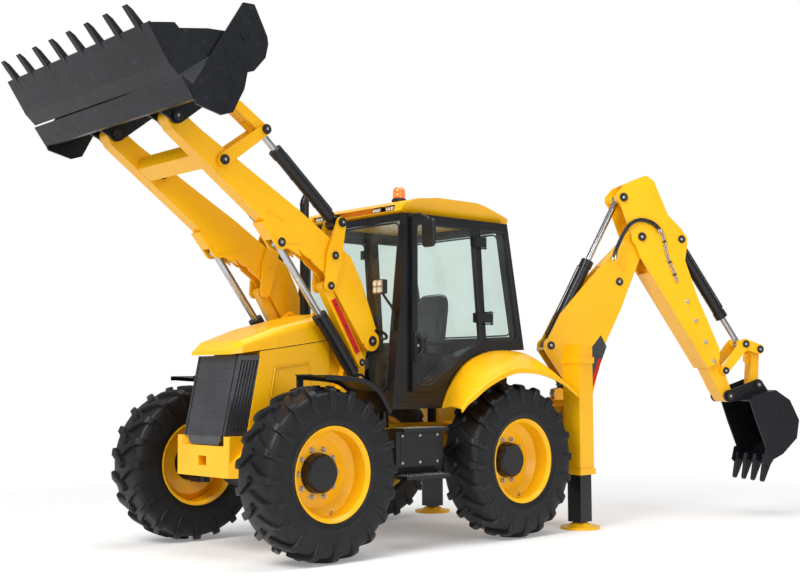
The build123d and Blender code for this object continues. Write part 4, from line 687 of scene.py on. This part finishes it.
def filled(pad, cap):
    """Swells a pad by a cloth simulation under pressure: each point moves at most cap metres."""
    scene = bpy.context.scene
    remesh = pad.modifiers.new("even skin", "REMESH")
    remesh.mode = "VOXEL"
    remesh.voxel_size = 0.012
    even = bpy.data.meshes.new_from_object(pad.evaluated_get(bpy.context.evaluated_depsgraph_get()))
    pad.modifiers.clear()
    material = pad.data.materials[0]
    pad.data = even
    even.materials.clear()
    even.materials.append(material)
    before = np.empty(len(even.vertices) * 3)
    even.vertices.foreach_get("co", before)
    cloth = pad.modifiers.new("filling", "CLOTH")
    cloth.settings.use_pressure = True
    cloth.settings.uniform_pressure_force = 4.0
    cloth.settings.effector_weights.gravity = 0.0
    for step in range(1, 21):
        scene.frame_set(step)
    swollen = pad.evaluated_get(bpy.context.evaluated_depsgraph_get()).to_mesh()
    after = np.empty(len(swollen.vertices) * 3)
    swollen.vertices.foreach_get("co", after)
    pad.modifiers.clear()
    scene.frame_set(1)
    moved = (after - before).reshape(-1, 3)
    length = np.linalg.norm(moved, axis=1)[:, None]
    moved *= np.minimum(1.0, cap / np.maximum(length, 1e-9))
    even.vertices.foreach_set("co", before + moved.ravel())
    even.shade_smooth()
    smooth = pad.modifiers.new("soft faces", "SUBSURF")
    smooth.levels = smooth.render_levels = 1


def cloth_finish(name, light, deep, pitch):
    """Woven cloth: the bump is the product of two sines across each other, pitch waves per metre."""
    material = finish(name, light, deep, 14.0, (0.80, 0.95), (900.0, 0.0003), specular=0.2)
    tree = material.node_tree
    threads = [link_math(tree, "SINE", link_math(tree, "MULTIPLY", link_axis(tree, axis),
                                                 pitch * 2 * math.pi), 0.0)
               for axis in ("X", "Y", "Z")]
    weave = link_math(tree, "MULTIPLY", link_math(tree, "ADD", threads[0], threads[2]), threads[1])
    link_bump(tree, tree.nodes["Principled BSDF"], weave, 0.0008)
    tree.nodes["Principled BSDF"].inputs["Sheen Weight"].default_value = 0.3
    return material


seat_cloth = cloth_finish("woven seat cloth", (0.060, 0.062, 0.068), (0.035, 0.036, 0.040), 260.0)
piping = finish("seat piping", (0.030, 0.030, 0.032), (0.018, 0.018, 0.020), 30.0, (0.5, 0.7),
                (800.0, 0.0003))
level_axes = np.eye(3)
slope = math.atan2(BACK_FOOT[0] - BACK_TOP[0], BACK_TOP[1] - BACK_FOOT[1])
back_axes = np.array([(math.sin(-slope), 0, math.cos(slope)), (0, 1, 0),
                      (math.cos(slope), 0, math.sin(slope))])
back_middle = ((BACK_FOOT[0] + BACK_TOP[0]) / 2, 0.0, (BACK_FOOT[1] + BACK_TOP[1]) / 2)
for name, centre, half, axes in (("seat_cushion", *CUSHION, level_axes),
                                 ("seat_back", back_middle, BACK_HALF, back_axes)):
    middle = at(*centre)
    pad = piece(name, superform(middle, half, axes, PAD_POWER), grid_faces(PAD_ROWS, PAD_COLUMNS,
                                                                           round_columns=True),
                "chassis", seat_cloth)
    filled(pad, PAD_FILL)
    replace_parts(pad, "seat")
    turn = np.linspace(0, 2 * np.pi, 64, endpoint=False)
    rim = np.stack([np.sign(wave) * np.abs(wave) ** PAD_POWER * (reach - 0.003)
                    for wave, reach in ((np.cos(turn), half[0]), (np.sin(turn), half[1]))] + [0 * turn], -1)
    path = middle + rim @ np.asarray(axes)
    tubes(f"{name}_piping", [path], 0.0045, axes[2], "chassis", piping, closed=True, count=8)
boot = revolved(BOOT, at(*BOOT_FOOT), (0, 0, 1), 40)
grids("seat_suspension_boot", boot, "chassis", rubber)
pan = superform(at(*SEAT_PAN[0]), SEAT_PAN[1], level_axes, 0.25)
grids("seat_pan", pan, "chassis", plastic)
for hand, side in HANDS:
    arm = superform(mirrored_at(SEAT_ARM, side), ARM_HALF, level_axes, 0.4, 14, 28)
    stay = superform(mirrored_at(ARM_STAY, side), STAY_HALF, level_axes, 0.4, 14, 28)
    grids(f"seat_arm_{hand}", np.array([arm, stay]), "chassis", plastic)


# Rear guards. Deep yellow pressings that start flat on the cab, crown over the wheel and roll down to a
# lip outside it.
GUARD_INNER = [(0.640, 1.190), (0.570, 1.340), (0.470, 1.480), (0.330, 1.600), (0.120, 1.680),
               (-0.140, 1.712), (-0.440, 1.690), (-0.640, 1.610), (-0.800, 1.500)]
GUARD_OUTER = [(0.810, 1.190), (0.735, 1.265), (0.640, 1.322), (0.500, 1.410), (0.300, 1.495),
               (0.090, 1.546), (-0.220, 1.530), (-0.520, 1.440), (-0.760, 1.300)]
GUARD_WALL, GUARD_FLAT, GUARD_EDGE, GUARD_BEND = 0.7505, 0.780, 1.166, 0.0155
GUARD_CROWN, GUARD_SKIN, GUARD_DROP = 0.020, 0.010, 0.056


def guard_points(side):
    """A point of the guard is inner * (1 - f) + outer * f, lifted by a crown of sin(pi f); past f = 1 the
    section rolls over a quarter round and drops to the lip. The underside repeats it a skin lower."""
    inner, outer = softened(GUARD_INNER, 60), softened(GUARD_OUTER, 60)
    quarter = np.radians(np.linspace(0, 90, 6))
    broad = np.linspace(0.08, 1.0, 12)
    share = np.concatenate([[0.0, 0.0], broad, np.ones(8)])
    lip = GUARD_EDGE + GUARD_BEND
    y = np.concatenate([[GUARD_WALL, GUARD_FLAT], GUARD_FLAT + (GUARD_EDGE - GUARD_FLAT) * broad,
                        GUARD_EDGE + GUARD_BEND * np.sin(quarter), [lip, lip]])
    rise = np.concatenate([[0.0, 0.0], GUARD_CROWN * np.sin(np.pi * broad),
                           GUARD_BEND * (np.cos(quarter) - 1), [-0.030, -GUARD_DROP]])
    skin = np.concatenate([np.full(19, GUARD_SKIN), np.full(3, 0.0)])
    under_y = np.concatenate([y[:14], y[14:] - GUARD_SKIN])
    share, y, rise = (np.concatenate([top, low[::-1]])
                      for top, low in ((share, share), (y, under_y), (rise, rise - skin)))
    ends_low = np.sin(np.linspace(0.25, np.pi - 0.25, 60))[:, None] ** 0.3
    x = inner[:, :1] * (1 - share) + outer[:, :1] * share
    z = inner[:, 1:] * (1 - share) + outer[:, 1:] * share + rise * ends_low
    return at(x, side * y, z)


def sheet_faces(rows, columns):
    """Faces of a closed section carried along a line, with each end closed between its two layers."""
    layer = np.arange(columns // 2 - 1)
    end = np.stack([layer, layer + 1, columns - 2 - layer, columns - 1 - layer], -1)
    return np.vstack([grid_faces(rows, columns, round_columns=True), end, end + (rows - 1) * columns])


for hand, side in HANDS:
    points = guard_points(side)
    guard = piece(f"rear_guard_{hand}", points, sheet_faces(*points.shape[:2]), "chassis", yellow_paint,
                  50)
    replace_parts(guard, "rear_fenders")


# Cab fittings. Square lamps with four round emitters on cranked stalks, flat work lamps front and rear,
# tall mirrors on bent arms, an amber beacon on the roof and the black exhaust stack.
LAMP = ((1.375, 0.750, 2.245), (0.028, 0.068, 0.063))
LAMP_SPOTS = [(y, z) for y in (-0.031, 0.031) for z in (-0.028, 0.028)]
WORK_LAMPS = (("front", 1.015, 2.982, 1), ("rear", -0.362, 2.952, -1))
WORK_LAMP_HALF, WORK_SPOTS = (0.029, 0.062, 0.023), [(-0.034, 0.0), (0.0, 0.0), (0.034, 0.0)]
MIRROR = ((1.111, 1.090, 2.705), (0.019, 0.078, 0.122))
MIRROR_PANE, PANE_AHEAD = (0.0035, 0.070, 0.112), -0.0165
STALK = [(1.356, 0.749, 2.200), (1.275, 0.727, 2.134), (1.190, 0.702, 2.066), (1.180, 0.696, 1.990),
         (1.188, 0.690, 1.872)]
MIRROR_ARM = [(1.110, 1.090, 2.800), (1.108, 1.082, 2.832), (1.085, 1.020, 2.858), (1.044, 0.915, 2.893),
              (1.040, 0.860, 2.896), (1.040, 0.752, 2.895)]
BEACON = [(0.0, 0.0), (0.0, 0.068), (0.020, 0.069), (0.026, 0.060), (0.030, 0.056)]
DOME = [(0.030, 0.056), (0.060, 0.0570), (0.066, 0.0548), (0.072, 0.0565), (0.098, 0.0550), (0.116, 0.049),
        (0.128, 0.036), (0.134, 0.018), (0.136, 0.0)]
STACK_FOOT = (1.430, -0.250, 2.026)
STACK = [(0.0, 0.0)] + [(z, 0.042) for z in np.linspace(0.0, 1.02, 8)] + [(1.03, 0.044), (1.05, 0.044),
                                                                          (1.06, 0.041)]
OUTLET = [(1.430, -0.250, 3.050), (1.428, -0.250, 3.095), (1.405, -0.250, 3.138), (1.372, -0.250, 3.176)]
amber = finish("amber lens", (0.90, 0.20, 0.010), (0.75, 0.12, 0.004), 30.0, (0.08, 0.18),
               (120.0, 0.0008), coat=1.0)
amber.node_tree.nodes["Principled BSDF"].inputs["Emission Color"].default_value = (1.0, 0.25, 0.02, 1.0)
amber.node_tree.nodes["Principled BSDF"].inputs["Emission Strength"].default_value = 0.25
emitter = finish("lamp emitter", (0.85, 0.80, 0.62), (0.60, 0.54, 0.38), 90.0, (0.10, 0.25),
                 (300.0, 0.0006), coat=1.0)
silvered = finish("silvered glass", (0.62, 0.64, 0.65), (0.54, 0.56, 0.57), 6.0, (0.02, 0.06),
                  (30.0, 0.0001), metallic=1.0)


def fitting(name, stacks, material):
    """A piece on the cab that stands for the CAD's fittings."""
    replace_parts(grids(name, stacks, "chassis", material), "cab_fittings")


def lamp_set(name, middle, half, facing, spots, radius):
    """A lamp: its housing, the plate on its face, and the round bowls of its emitters with their rims."""
    fitting(f"{name}_housing", superform(middle, half, level_axes, 0.16, 16, 32), plastic)
    plate = superform(middle + np.array((facing * (half[0] - 0.0015), 0, 0)),
                      (0.0025, half[1] * 0.92, half[2] * 0.92), level_axes, 0.16, 12, 32)
    fitting(f"{name}_face", plate, plated)
    bowl = np.array([(0.0, 0.0), (0.001, radius * 0.5), (0.005, radius * 0.9), (0.0052, radius * 0.93)])
    rim = np.array([(0.0, radius * 0.9), (0.006, radius * 0.92), (0.0065, radius), (0.0, radius * 1.06)])
    faces = [middle + np.array((facing * (half[0] + 0.001), y, z)) for y, z in spots]
    for part, profile, material in (("emitters", bowl, emitter), ("rims", rim, plated)):
        rings = [revolved(profile, face, (facing, 0, 0), 24) for face in faces]
        fitting(f"{name}_{part}", rings, material)


for hand, side in HANDS:
    lamp_set(f"road_lamp_{hand}", mirrored_at(LAMP[0], side), LAMP[1], 1, LAMP_SPOTS, 0.026)
    for end, x, z, facing in WORK_LAMPS:
        for place, y in (("inner", 0.330), ("outer", 0.510)):
            lamp_set(f"work_lamp_{end}_{place}_{hand}", at(x, side * y, z), WORK_LAMP_HALF, facing,
                     WORK_SPOTS, 0.015)
    stays = [mirrored_at(softened(line, 40).T, side) for line in (STALK, MIRROR_ARM)]
    stays = [tube_points(line, 0.0115, (0.2, 0.3, 0.1)) for line in stays]
    fitting(f"lamp_and_mirror_stays_{hand}", stays, black_paint)
    shell = superform(mirrored_at(MIRROR[0], side), MIRROR[1], level_axes, 0.38, 28, 40)
    fitting(f"mirror_shell_{hand}", shell, plastic)
    pane = superform(mirrored_at(MIRROR[0], side, PANE_AHEAD), MIRROR_PANE, level_axes, 0.34, 20, 36)
    fitting(f"mirror_pane_{hand}", pane, silvered)
outlet = at(*softened(OUTLET, 24).T)
bend, bore = (tube_points(outlet, radius, (0, 1, 0), 28)[1:-1] for radius in (0.040, 0.036))
for name, rings, material, slot in (
        ("beacon_base", revolved(BEACON, at(0.832, 0.400, 3.078), (0, 0, 1), 40), plastic, "black_plastic"),
        ("beacon_dome", revolved(DOME, at(0.832, 0.400, 3.082), (0, 0, 1), 40), amber, "bright_steel"),
        ("exhaust_stack", revolved(STACK, at(*STACK_FOOT), (0, 0, 1), 36), black_paint, "black_paint"),
        ("exhaust_outlet", np.concatenate([bend, bore[::-1]]), black_paint, "black_paint")):
    fitting(name, rings, material)


# Loader. Yellow arms, levers and links; black ram barrels with chromed rods; black dished caps with a
# grease nipple on every pin. The stowed red safety strut lies on the outside of each levelling link.
ARM_OUTER = 0.535
RAM_SIDES = (0.470, -0.470)
STRUT_BACK, STRUT_FACE, RIVET_SEAT = 0.520, 0.5285, 0.528
STRUT_FROM, STRUT_TO = (1.385, 1.593), (1.778, 2.245)
CAP = [(0.0, 0.0), (0.0, 0.96), (0.10, 1.0), (0.16, 0.98), (0.20, 0.88), (0.15, 0.62), (0.15, 0.26),
       (0.24, 0.22), (0.30, 0.10), (0.30, 0.0)]
CAP_DISH = 0.15
NIPPLE = [(0.0, 0.0), (0.0, 0.34), (0.10, 0.34), (0.13, 0.27), (0.13, 0.12), (0.30, 0.10), (0.34, 0.0)]
RIVET = [(0.0, 0.009), (0.003, 0.009), (0.0055, 0.006), (0.006, 0.0)]
LEAF = [(2.444, 2.862), (2.359, 2.826), (2.198, 2.753), (2.030, 2.640), (2.120, 2.585), (2.295, 2.597),
        (2.335, 2.700)]

chrome = finish("hard chrome rod", (0.52, 0.52, 0.54), (0.42, 0.42, 0.44), 40.0, (0.06, 0.16),
                (500.0, 0.0001), metallic=1.0)
pin_steel = finish("blackened pin steel", (0.035, 0.035, 0.036), (0.018, 0.018, 0.019), 50.0, (0.30, 0.48),
                   (260.0, 0.0004), metallic=0.5)
red_enamel = finish("red enamel", (0.56, 0.008, 0.006), (0.44, 0.005, 0.004), 5.0, (0.26, 0.40),
                    (180.0, 0.0004), coat=0.1, specular=0.3)
paint(yellow_paint, "loader_arms", "rear_levers", "front_levers", "levelling_links", "bucket_links")
paint(black_paint, "tilt_tubes", "lift_tubes")
paint(chrome, "tilt_rods", "lift_rods")
paint(pin_steel, "tilt_foot_pins", "front_lever_pins", "link_pins", "bucket_pins")


def pin_caps(name, body, offset, radius, places, place=at, left=(0.0, 1.0, 0.0)):
    """A dished cap at both ends of each pin, with a plated keeper and grease nipple in its middle. The
    profiles are in shares of the radius, and a nipple stands CAP_DISH of it out from the cap's back."""
    for title, profile, count, out, material in ((name, CAP, 28, 0.0, pin_steel),
                                                 (f"{name}_nipples", NIPPLE, 18, CAP_DISH, plated)):
        rings = []
        for side in (1, -1):
            axis = side * np.asarray(left)
            rings += [revolved(np.asarray(profile) * radius,
                               place(a, side * offset, b) + axis * out * radius, axis,
                               count) for a, b in places]
        grids(title, rings, body, material)


for name, body, y, radius, places in (
        ("arm_pivot_caps", "chassis", 0.547, 0.046, [(1.290, 1.782)]),
        ("link_foot_caps", "chassis", 0.518, 0.033, [(1.385, 1.593)]),
        ("lift_eye_caps", "arms", 0.535, 0.040, [(2.274, 2.588)]),
        ("rear_lever_caps", "rear_levers", 0.575, 0.036, [(1.729, 2.509), (1.778, 2.245)]),
        ("tilt_foot_caps", "tilt_foot_pins", 0.583, 0.036, [(1.651, 2.802)]),
        ("front_lever_caps", "front_lever_pins", 0.583, 0.036, [(2.868, 3.206)]),
        ("bucket_link_caps", "link_pins", 0.583, 0.036, [(2.458, 3.508)]),
        ("bucket_pivot_caps", "bucket_pins", 0.583, 0.036, [(3.310, 3.500)])):
    pin_caps(name, body, y, radius, places)
run = np.subtract(STRUT_TO, STRUT_FROM)
run /= np.linalg.norm(run)
square = np.array((-run[1], run[0]))
corners = [np.asarray(STRUT_FROM) + run * length + square * side for length, side in
           ((0.096, -0.026), (0.634, -0.026), (0.634, 0.026), (0.096, 0.026))]
rivets = [np.asarray(STRUT_FROM) + run * length for length in (0.15, 0.365, 0.58)]
struts = [pressed(rounded(corners, 0.008), on_side, side * STRUT_BACK, side * STRUT_FACE,
                  0.0025) for side in (1,
                                                                                                      -1)]
grids("safety_struts", struts, "levelling_links", red_enamel)
studs = [revolved(RIVET, at(x, side * RIVET_SEAT, z), (0, side, 0), 18) for side in (1, -1) for x,
         z in rivets]
grids("strut_rivets", studs, "levelling_links", pin_steel)
leaf = rounded(LEAF, 0.05)
tubes("arm_beads", [beside(leaf, side * (ARM_OUTER + 0.0005)) for side in (1, -1)], 0.0060,
      (0, 1, 0), "arms", yellow_paint, closed=True, count=8)


def ram_trim(name, foot, head, length, radius, offsets, body, place=at, left=(0, 1, 0)):
    """A ram's trim: the threaded gland at the barrel's mouth, two pipe clamps and the steel pipe between
    its ports. Foot and head are the ram's eyes in the plane it swings in, which place turns into metres
    of the scene."""
    foot, head = np.asarray(foot, float), np.asarray(head, float)
    run = (head - foot) / np.linalg.norm(head - foot)
    square = np.array((-run[1], run[0]))
    axis = place(run[0], 0.0, run[1]) - place(0.0, 0.0, 0.0)
    gland = [(0.0, radius * 0.9), (0.0, radius + 0.005), (0.040, radius + 0.006), (0.046, radius + 0.002)]
    belt = [(0.0, radius - 0.002), (0.001, radius + 0.0025), (0.024, radius + 0.0025),
            (0.025, radius - 0.002)]
    bands = ((gland, length - 0.050), (belt, length * 0.28), (belt, length * 0.66))
    line = softened([foot + run * along + square * (radius + out) for along, out in (
        (0.10, -0.004), (0.105, 0.012), (0.15, 0.015), (length * 0.5, 0.015), (length - 0.12, 0.015),
        (length - 0.078, 0.012), (length - 0.073, -0.004))], 40)
    rings, pipes = [], []
    for offset in offsets:
        for profile, along in bands:
            middle = foot + run * along
            rings.append(revolved(profile, place(middle[0], offset, middle[1]), axis, 36))
        pipes.append(place(line[:, 0], offset, line[:, 1]))
    grids(f"{name}_glands", rings, body, black_paint)
    tubes(f"{name}_pipes", pipes, 0.0065, left, body, black_paint)


ram_trim("lift_ram", (1.405, 1.440), (2.274, 2.588), 0.690, 0.058, RAM_SIDES, "lift_tubes")
ram_trim("tilt_ram", (1.651, 2.802), (2.458, 3.508), 0.850, 0.052, RAM_SIDES, "tilt_tubes")


# Buckets. The loader's blade and hinged clam half and the backhoe's bucket are sprayed near black, and
# scuffed to a duller grey in patches.
enamel = finish("bucket enamel", (0.0080, 0.0090, 0.0120), (0.0045, 0.0052, 0.0070), 3.0, (0.30, 0.44),
                (90.0, 0.0009), coat=0.08, specular=0.25)
scuffs = link_range(enamel.node_tree, link_noise(enamel.node_tree, 26.0, 8.0), 0.62, 0.74, 0.0, 0.25)
paint(recoloured(enamel, scuffs, (0.075, 0.078, 0.082)), "bucket_blade", "bucket_clam", "hoe_bucket")


# Backhoe. A yellow box-section boom and dipper with an extending inner dipper, black rams, and a black
# digging bucket. The boom's side carries a black flash with a red stripe and no lettering.
SLEW = (-1.360, 0.550)
SLEW_TURN = math.radians(27.0)
BOOM_SIDE, RIB_N, BOLT_N, PIPE_N = 0.1005, 0.101, 0.150, 0.158
FLASH = [(0.178, 1.707), (0.330, 1.888), (0.391, 1.769), (0.262, 1.454), (0.174, 1.428)]
STRIPE_OUTER = [(0.330, 1.640), (0.296, 1.520), (0.252, 1.400), (0.213, 1.300)]
STRIPE_INNER = [(0.300, 1.650), (0.262, 1.545), (0.222, 1.430), (0.188, 1.330)]
BOOM_RIB = [(0.625, 2.617), (0.575, 2.540), (0.555, 2.494), (0.554, 2.453)]
DIPPER_BOLTS = [(1.295, 2.244), (1.390, 2.042), (1.494, 1.822), (1.590, 1.620)]
DIPPER_PIPE = [(1.000, 2.972), (1.020, 2.905), (1.059, 2.707), (1.103, 2.603), (1.139, 2.517),
               (1.168, 2.437)]
CLAMPS = ((1.030, 2.860), (1.086, 2.645), (1.139, 2.517))
CLAMP = np.array([(-0.006, -0.010), (0.034, 0.006), (0.028, 0.022), (-0.012, 0.006)])
HEAD_HOSE = [(0.440, 2.650), (0.462, 2.745), (0.515, 2.860), (0.573, 2.962), (0.650, 3.052), (0.757, 3.094),
             (0.880, 3.076), (0.960, 3.025), (1.000, 2.972)]
HEAD_MIDDLE, HOSE_N = np.array((0.757, 2.880)), 0.176
FERRULE = [(0.0, 0.0), (0.0, 0.010), (0.014, 0.0105), (0.015, 0.014), (0.045, 0.0135), (0.048, 0.012),
           (0.048, 0.0)]


def hoe(s, n, z):
    """A place s back from the slew post in the plane that the boom swings in, n to its left, z up."""
    s, n = np.asarray(s, float), np.asarray(n, float)
    return at(SLEW[0] - math.cos(SLEW_TURN) * s + math.sin(SLEW_TURN) * n,
              SLEW[1] + math.sin(SLEW_TURN) * s + math.cos(SLEW_TURN) * n, z)


def on_hoe(s, z, n):
    """Places on a plane along the boom."""
    return hoe(s, n, z)


hoe_left = np.array((math.sin(SLEW_TURN), math.cos(SLEW_TURN), 0.0))
paint(yellow_paint, "boom", "dipper", "dipper_extension", "tip_levers", "tip_link")
paint(black_paint, "boom_tube", "dipper_tube", "bucket_tube")
paint(chrome, "boom_rod", "dipper_rod", "bucket_rod")
for name, body, n, radius, places in (
        ("kingpost_caps", "kingpost", 0.112, 0.044, [(0.100, 0.930)]),
        ("boom_caps", "boom", 0.100, 0.042, [(-0.222, 1.780), (0.547, 2.442)]),
        ("boom_head_caps", "dipper_arm", 0.162, 0.046, [(0.783, 2.910), (0.583, 3.318)]),
        ("dipper_caps", "dipper_arm", 0.150, 0.042, [(1.243, 2.897)]),
        ("tip_lever_caps", "tip_levers", 0.158, 0.040, [(1.967, 1.800), (2.137, 1.745)]),
        ("tip_pivot_caps", "tip_levers", 0.168, 0.038, [(1.718, 1.519)]),
        ("hoe_bucket_caps", "hoe_bucket", 0.160, 0.042, [(1.771, 1.252), (2.110, 1.370)])):
    pin_caps(name, body, n, radius, places, hoe, hoe_left)
flash = pressed(rounded(FLASH, 0.006), on_hoe, BOOM_SIDE - 0.0006, BOOM_SIDE + 0.0004, 0.0002)
grids("boom_flash", flash, "boom", grille_plastic)
outer, inner = softened(STRIPE_OUTER, 24), softened(STRIPE_INNER, 24)
ribbon = np.stack([hoe(line[:, 0], n, line[:, 1]) for line, n in
                   ((outer, BOOM_SIDE - 0.0006), (outer, BOOM_SIDE + 0.0012), (inner, BOOM_SIDE + 0.0012),
                    (inner, BOOM_SIDE - 0.0006))], axis=1)
piece("boom_stripe", ribbon, sheet_faces(24, 4), "boom", red_enamel, 50)
rib = softened(BOOM_RIB, 30)
ribs = [hoe(rib[:, 0], side * RIB_N, rib[:, 1]) for side in (1, -1)]
tubes("boom_rib_beads", ribs, 0.006, hoe_left, "boom", yellow_paint)
bolts = [nut_points(hoe(s, side * BOLT_N, z), side * hoe_left, 0.034, 0.018) for side in (1, -1)
         for s, z in DIPPER_BOLTS]
grids("dipper_bolts", bolts, "dipper_arm", plated)


for name, foot, head, length, body in (
        ("boom_ram", (-0.120, 1.290), (0.547, 2.442), 0.900, "boom_tube"),
        ("dipper_ram", (-0.222, 1.780), (0.583, 3.318), 0.980, "dipper_tube"),
        ("bucket_ram", (1.243, 2.897), (1.967, 1.800), 0.960, "bucket_tube")):
    ram_trim(name, foot, head, length, 0.058, (0.0,), body, hoe, hoe_left)
hose_rubber = finish("wire braided hose", (0.014, 0.014, 0.015), (0.008, 0.008, 0.009), 25.0, (0.42, 0.60),
                     (620.0, 0.0008))
pipe, arc = softened(DIPPER_PIPE, 50), softened(HEAD_HOSE, 80)
pipes = [hoe(pipe[:, 0] + shift, PIPE_N, pipe[:, 1] + 0.4 * shift) for shift in (0.0, 0.022)]
tubes("dipper_steel_pipes", pipes, 0.0065, hoe_left, "dipper_arm", plated)
clamps = [pressed(rounded(CLAMP + place, 0.004), on_hoe, 0.1500, 0.1680, 0.002) for place in CLAMPS]
grids("dipper_pipe_clamps", clamps, "dipper_arm", pin_steel)


def ferrules(name, places, body):
    """Crimped hose ends: a profile turned about the hose's direction at each place; a place is
    (s, z, direction in s, direction in z)."""
    ends = [revolved(FERRULE, hoe(s, HOSE_N, z), hoe(along, 0.0, up) - hoe(0.0, 0.0, 0.0), 20)
            for s, z, along, up in places]
    grids(name, ends, body, plated)


def head_hose(name, spread):
    """One hose that bridges the boom's head in an arc, turning from the boom to the dipper on its way."""
    line = HEAD_MIDDLE + (arc - HEAD_MIDDLE) * spread
    path = hoe(line[:, 0], HOSE_N, line[:, 1])
    made = tubes(name, [path], 0.0105, hoe_left, None, hose_rubber)
    tuple(hoe(0.600, HOSE_N, 2.900))
    tuple(hoe(0.940, HOSE_N, 2.900))
    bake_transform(made)


head_hose("boom_head_hose_outer", 1.0)
head_hose("boom_head_hose_inner", 0.90)
ferrules("boom_hose_ends", [(0.440, 2.640, 0.15, 1.0), (0.472, 2.660, 0.15, 1.0)], "boom")
ferrules("dipper_hose_ends", [(1.006, 2.955, -0.55, 0.8), (0.981, 2.948, -0.55, 0.8)], "dipper_arm")


# Stabilisers. Box legs slide down out of yellow housings onto flat round feet; the legs are black and
# the feet yellow.
FOOT_TOP = 0.066


def leg_finish(name):
    """Black enamel above the foot and yellow enamel on it, told apart by height."""
    material = finish(name, BLACK, BLACK_DEEP, 2.1, (0.30, 0.46), (220.0, 0.0005), coat=0.15, specular=0.32)
    tree = material.node_tree
    low = link_math(tree, "LESS_THAN", link_axis(tree, "Z"), FOOT_TOP)
    return recoloured(material, low, link_mix(tree, link_noise(tree, 2.0, 4.0), YELLOW_DEEP, YELLOW))


paint(leg_finish("stabiliser enamel"), "stabiliser_left", "stabiliser_right")


# Studio. A plain pale floor that runs into the background, a large soft key over the camera's left
# shoulder, a cooler fill from the right and a wide light overhead.
VIEW_PLACE = (8.0768, 8.1977, 1.447)
VIEW_YAW, VIEW_PITCH, VIEW_ROLL = -2.3071, 0.0721, -0.0047
FOCAL_PIXELS, PICTURE_WIDTH, SENSOR = 1204.16, 800, 36.0
FLOOR_HALF = 60.0


def turned_to(direction, up=(0.0, 0.0, 1.0)):
    """A rotation whose -Z looks along a direction with Y near up."""
    back = -np.asarray(direction, float) / np.linalg.norm(direction)
    right = np.cross(up, back)
    right /= np.linalg.norm(right)
    return Matrix(np.column_stack([right, np.cross(back, right), back]).tolist()).to_4x4()


def lamp(name, place, target, size, power, colour):
    """A square area light at place that faces target."""
    data = bpy.data.lights.new(name, "AREA")
    data.shape, data.size, data.energy, data.color = "SQUARE", size, power, colour
    light = bpy.data.objects.new(name, data)
    bpy.context.scene.collection.objects.link(light)
    light.matrix_world = Matrix.Translation(place) @ turned_to(np.subtract(target, place))


floor_mesh = bpy.data.meshes.new("studio_floor")
floor_mesh.from_pydata([(-FLOOR_HALF, -FLOOR_HALF, 0), (FLOOR_HALF, -FLOOR_HALF, 0),
                        (FLOOR_HALF, FLOOR_HALF, 0), (-FLOOR_HALF, FLOOR_HALF, 0)], [], [(0, 1, 2, 3)])
floor_mesh.materials.append(finish("studio floor paper", (0.90, 0.90, 0.90), (0.88, 0.88, 0.88), 0.5,
                                   (0.75, 0.85), (40.0, 0.0002), specular=0.2))
floor = bpy.data.objects.new("studio_floor", floor_mesh)
bpy.context.scene.collection.objects.link(floor)
paper = floor_mesh.materials[0].node_tree
white = paper.nodes.new("ShaderNodeEmission")
away = paper.nodes.new("ShaderNodeVectorMath")
away.operation = "LENGTH"
paper.links.new(paper.nodes.new("ShaderNodeTexCoord").outputs["Object"], away.inputs[0])
fade = paper.nodes.new("ShaderNodeMixShader")
paper.links.new(link_range(paper, away.outputs["Value"], 3.0, 7.5, 0.22, 1.0), fade.inputs["Fac"])
paper.links.new(paper.nodes["Principled BSDF"].outputs["BSDF"], fade.inputs[1])
paper.links.new(white.outputs["Emission"], fade.inputs[2])
paper.links.new(fade.outputs["Shader"], paper.nodes["Material Output"].inputs["Surface"])

world = bpy.data.worlds.new("studio")
world.use_nodes = True
sky = world.node_tree
backdrop = sky.nodes["Background"]
backdrop.inputs["Color"].default_value = (1.0, 1.0, 1.0, 1.0)
backdrop.inputs["Strength"].default_value = 1.0
walls = sky.nodes.new("ShaderNodeBackground")
walls.inputs["Color"].default_value = (0.96, 0.98, 1.0, 1.0)
walls.inputs["Strength"].default_value = 0.42
seen = sky.nodes.new("ShaderNodeMixShader")
sky.links.new(sky.nodes.new("ShaderNodeLightPath").outputs["Is Camera Ray"], seen.inputs["Fac"])
sky.links.new(walls.outputs["Background"], seen.inputs[1])
sky.links.new(backdrop.outputs["Background"], seen.inputs[2])
sky.links.new(seen.outputs["Shader"], sky.nodes["World Output"].inputs["Surface"])
bpy.context.scene.world = world
bpy.context.scene.view_settings.view_transform = "Standard"

lamp("key", (9.5, 2.0, 8.5), (0, 0, 1.6), 5.0, 1150.0, (1.0, 0.98, 0.95))
lamp("fill", (3.5, 12.0, 4.0), (0, 0, 1.4), 6.0, 380.0, (0.97, 0.98, 1.0))
lamp("overhead", (-1.0, 1.0, 11.0), (0, 0, 1.0), 9.0, 850.0, (1.0, 1.0, 1.0))

forward = np.array((math.cos(VIEW_YAW) * math.cos(VIEW_PITCH), math.sin(VIEW_YAW) * math.cos(VIEW_PITCH),
                    math.sin(VIEW_PITCH)))
camera_data = bpy.data.cameras.new("photo_view")
camera_data.sensor_width = SENSOR
camera_data.lens = FOCAL_PIXELS / PICTURE_WIDTH * SENSOR
camera = bpy.data.objects.new("photo_view", camera_data)
camera.matrix_world = Matrix.Translation(VIEW_PLACE) @ turned_to(forward) @ Matrix.Rotation(VIEW_ROLL, 4,
                                                                                            "Z")
bpy.context.scene.collection.objects.link(camera)
bpy.context.scene.camera = camera
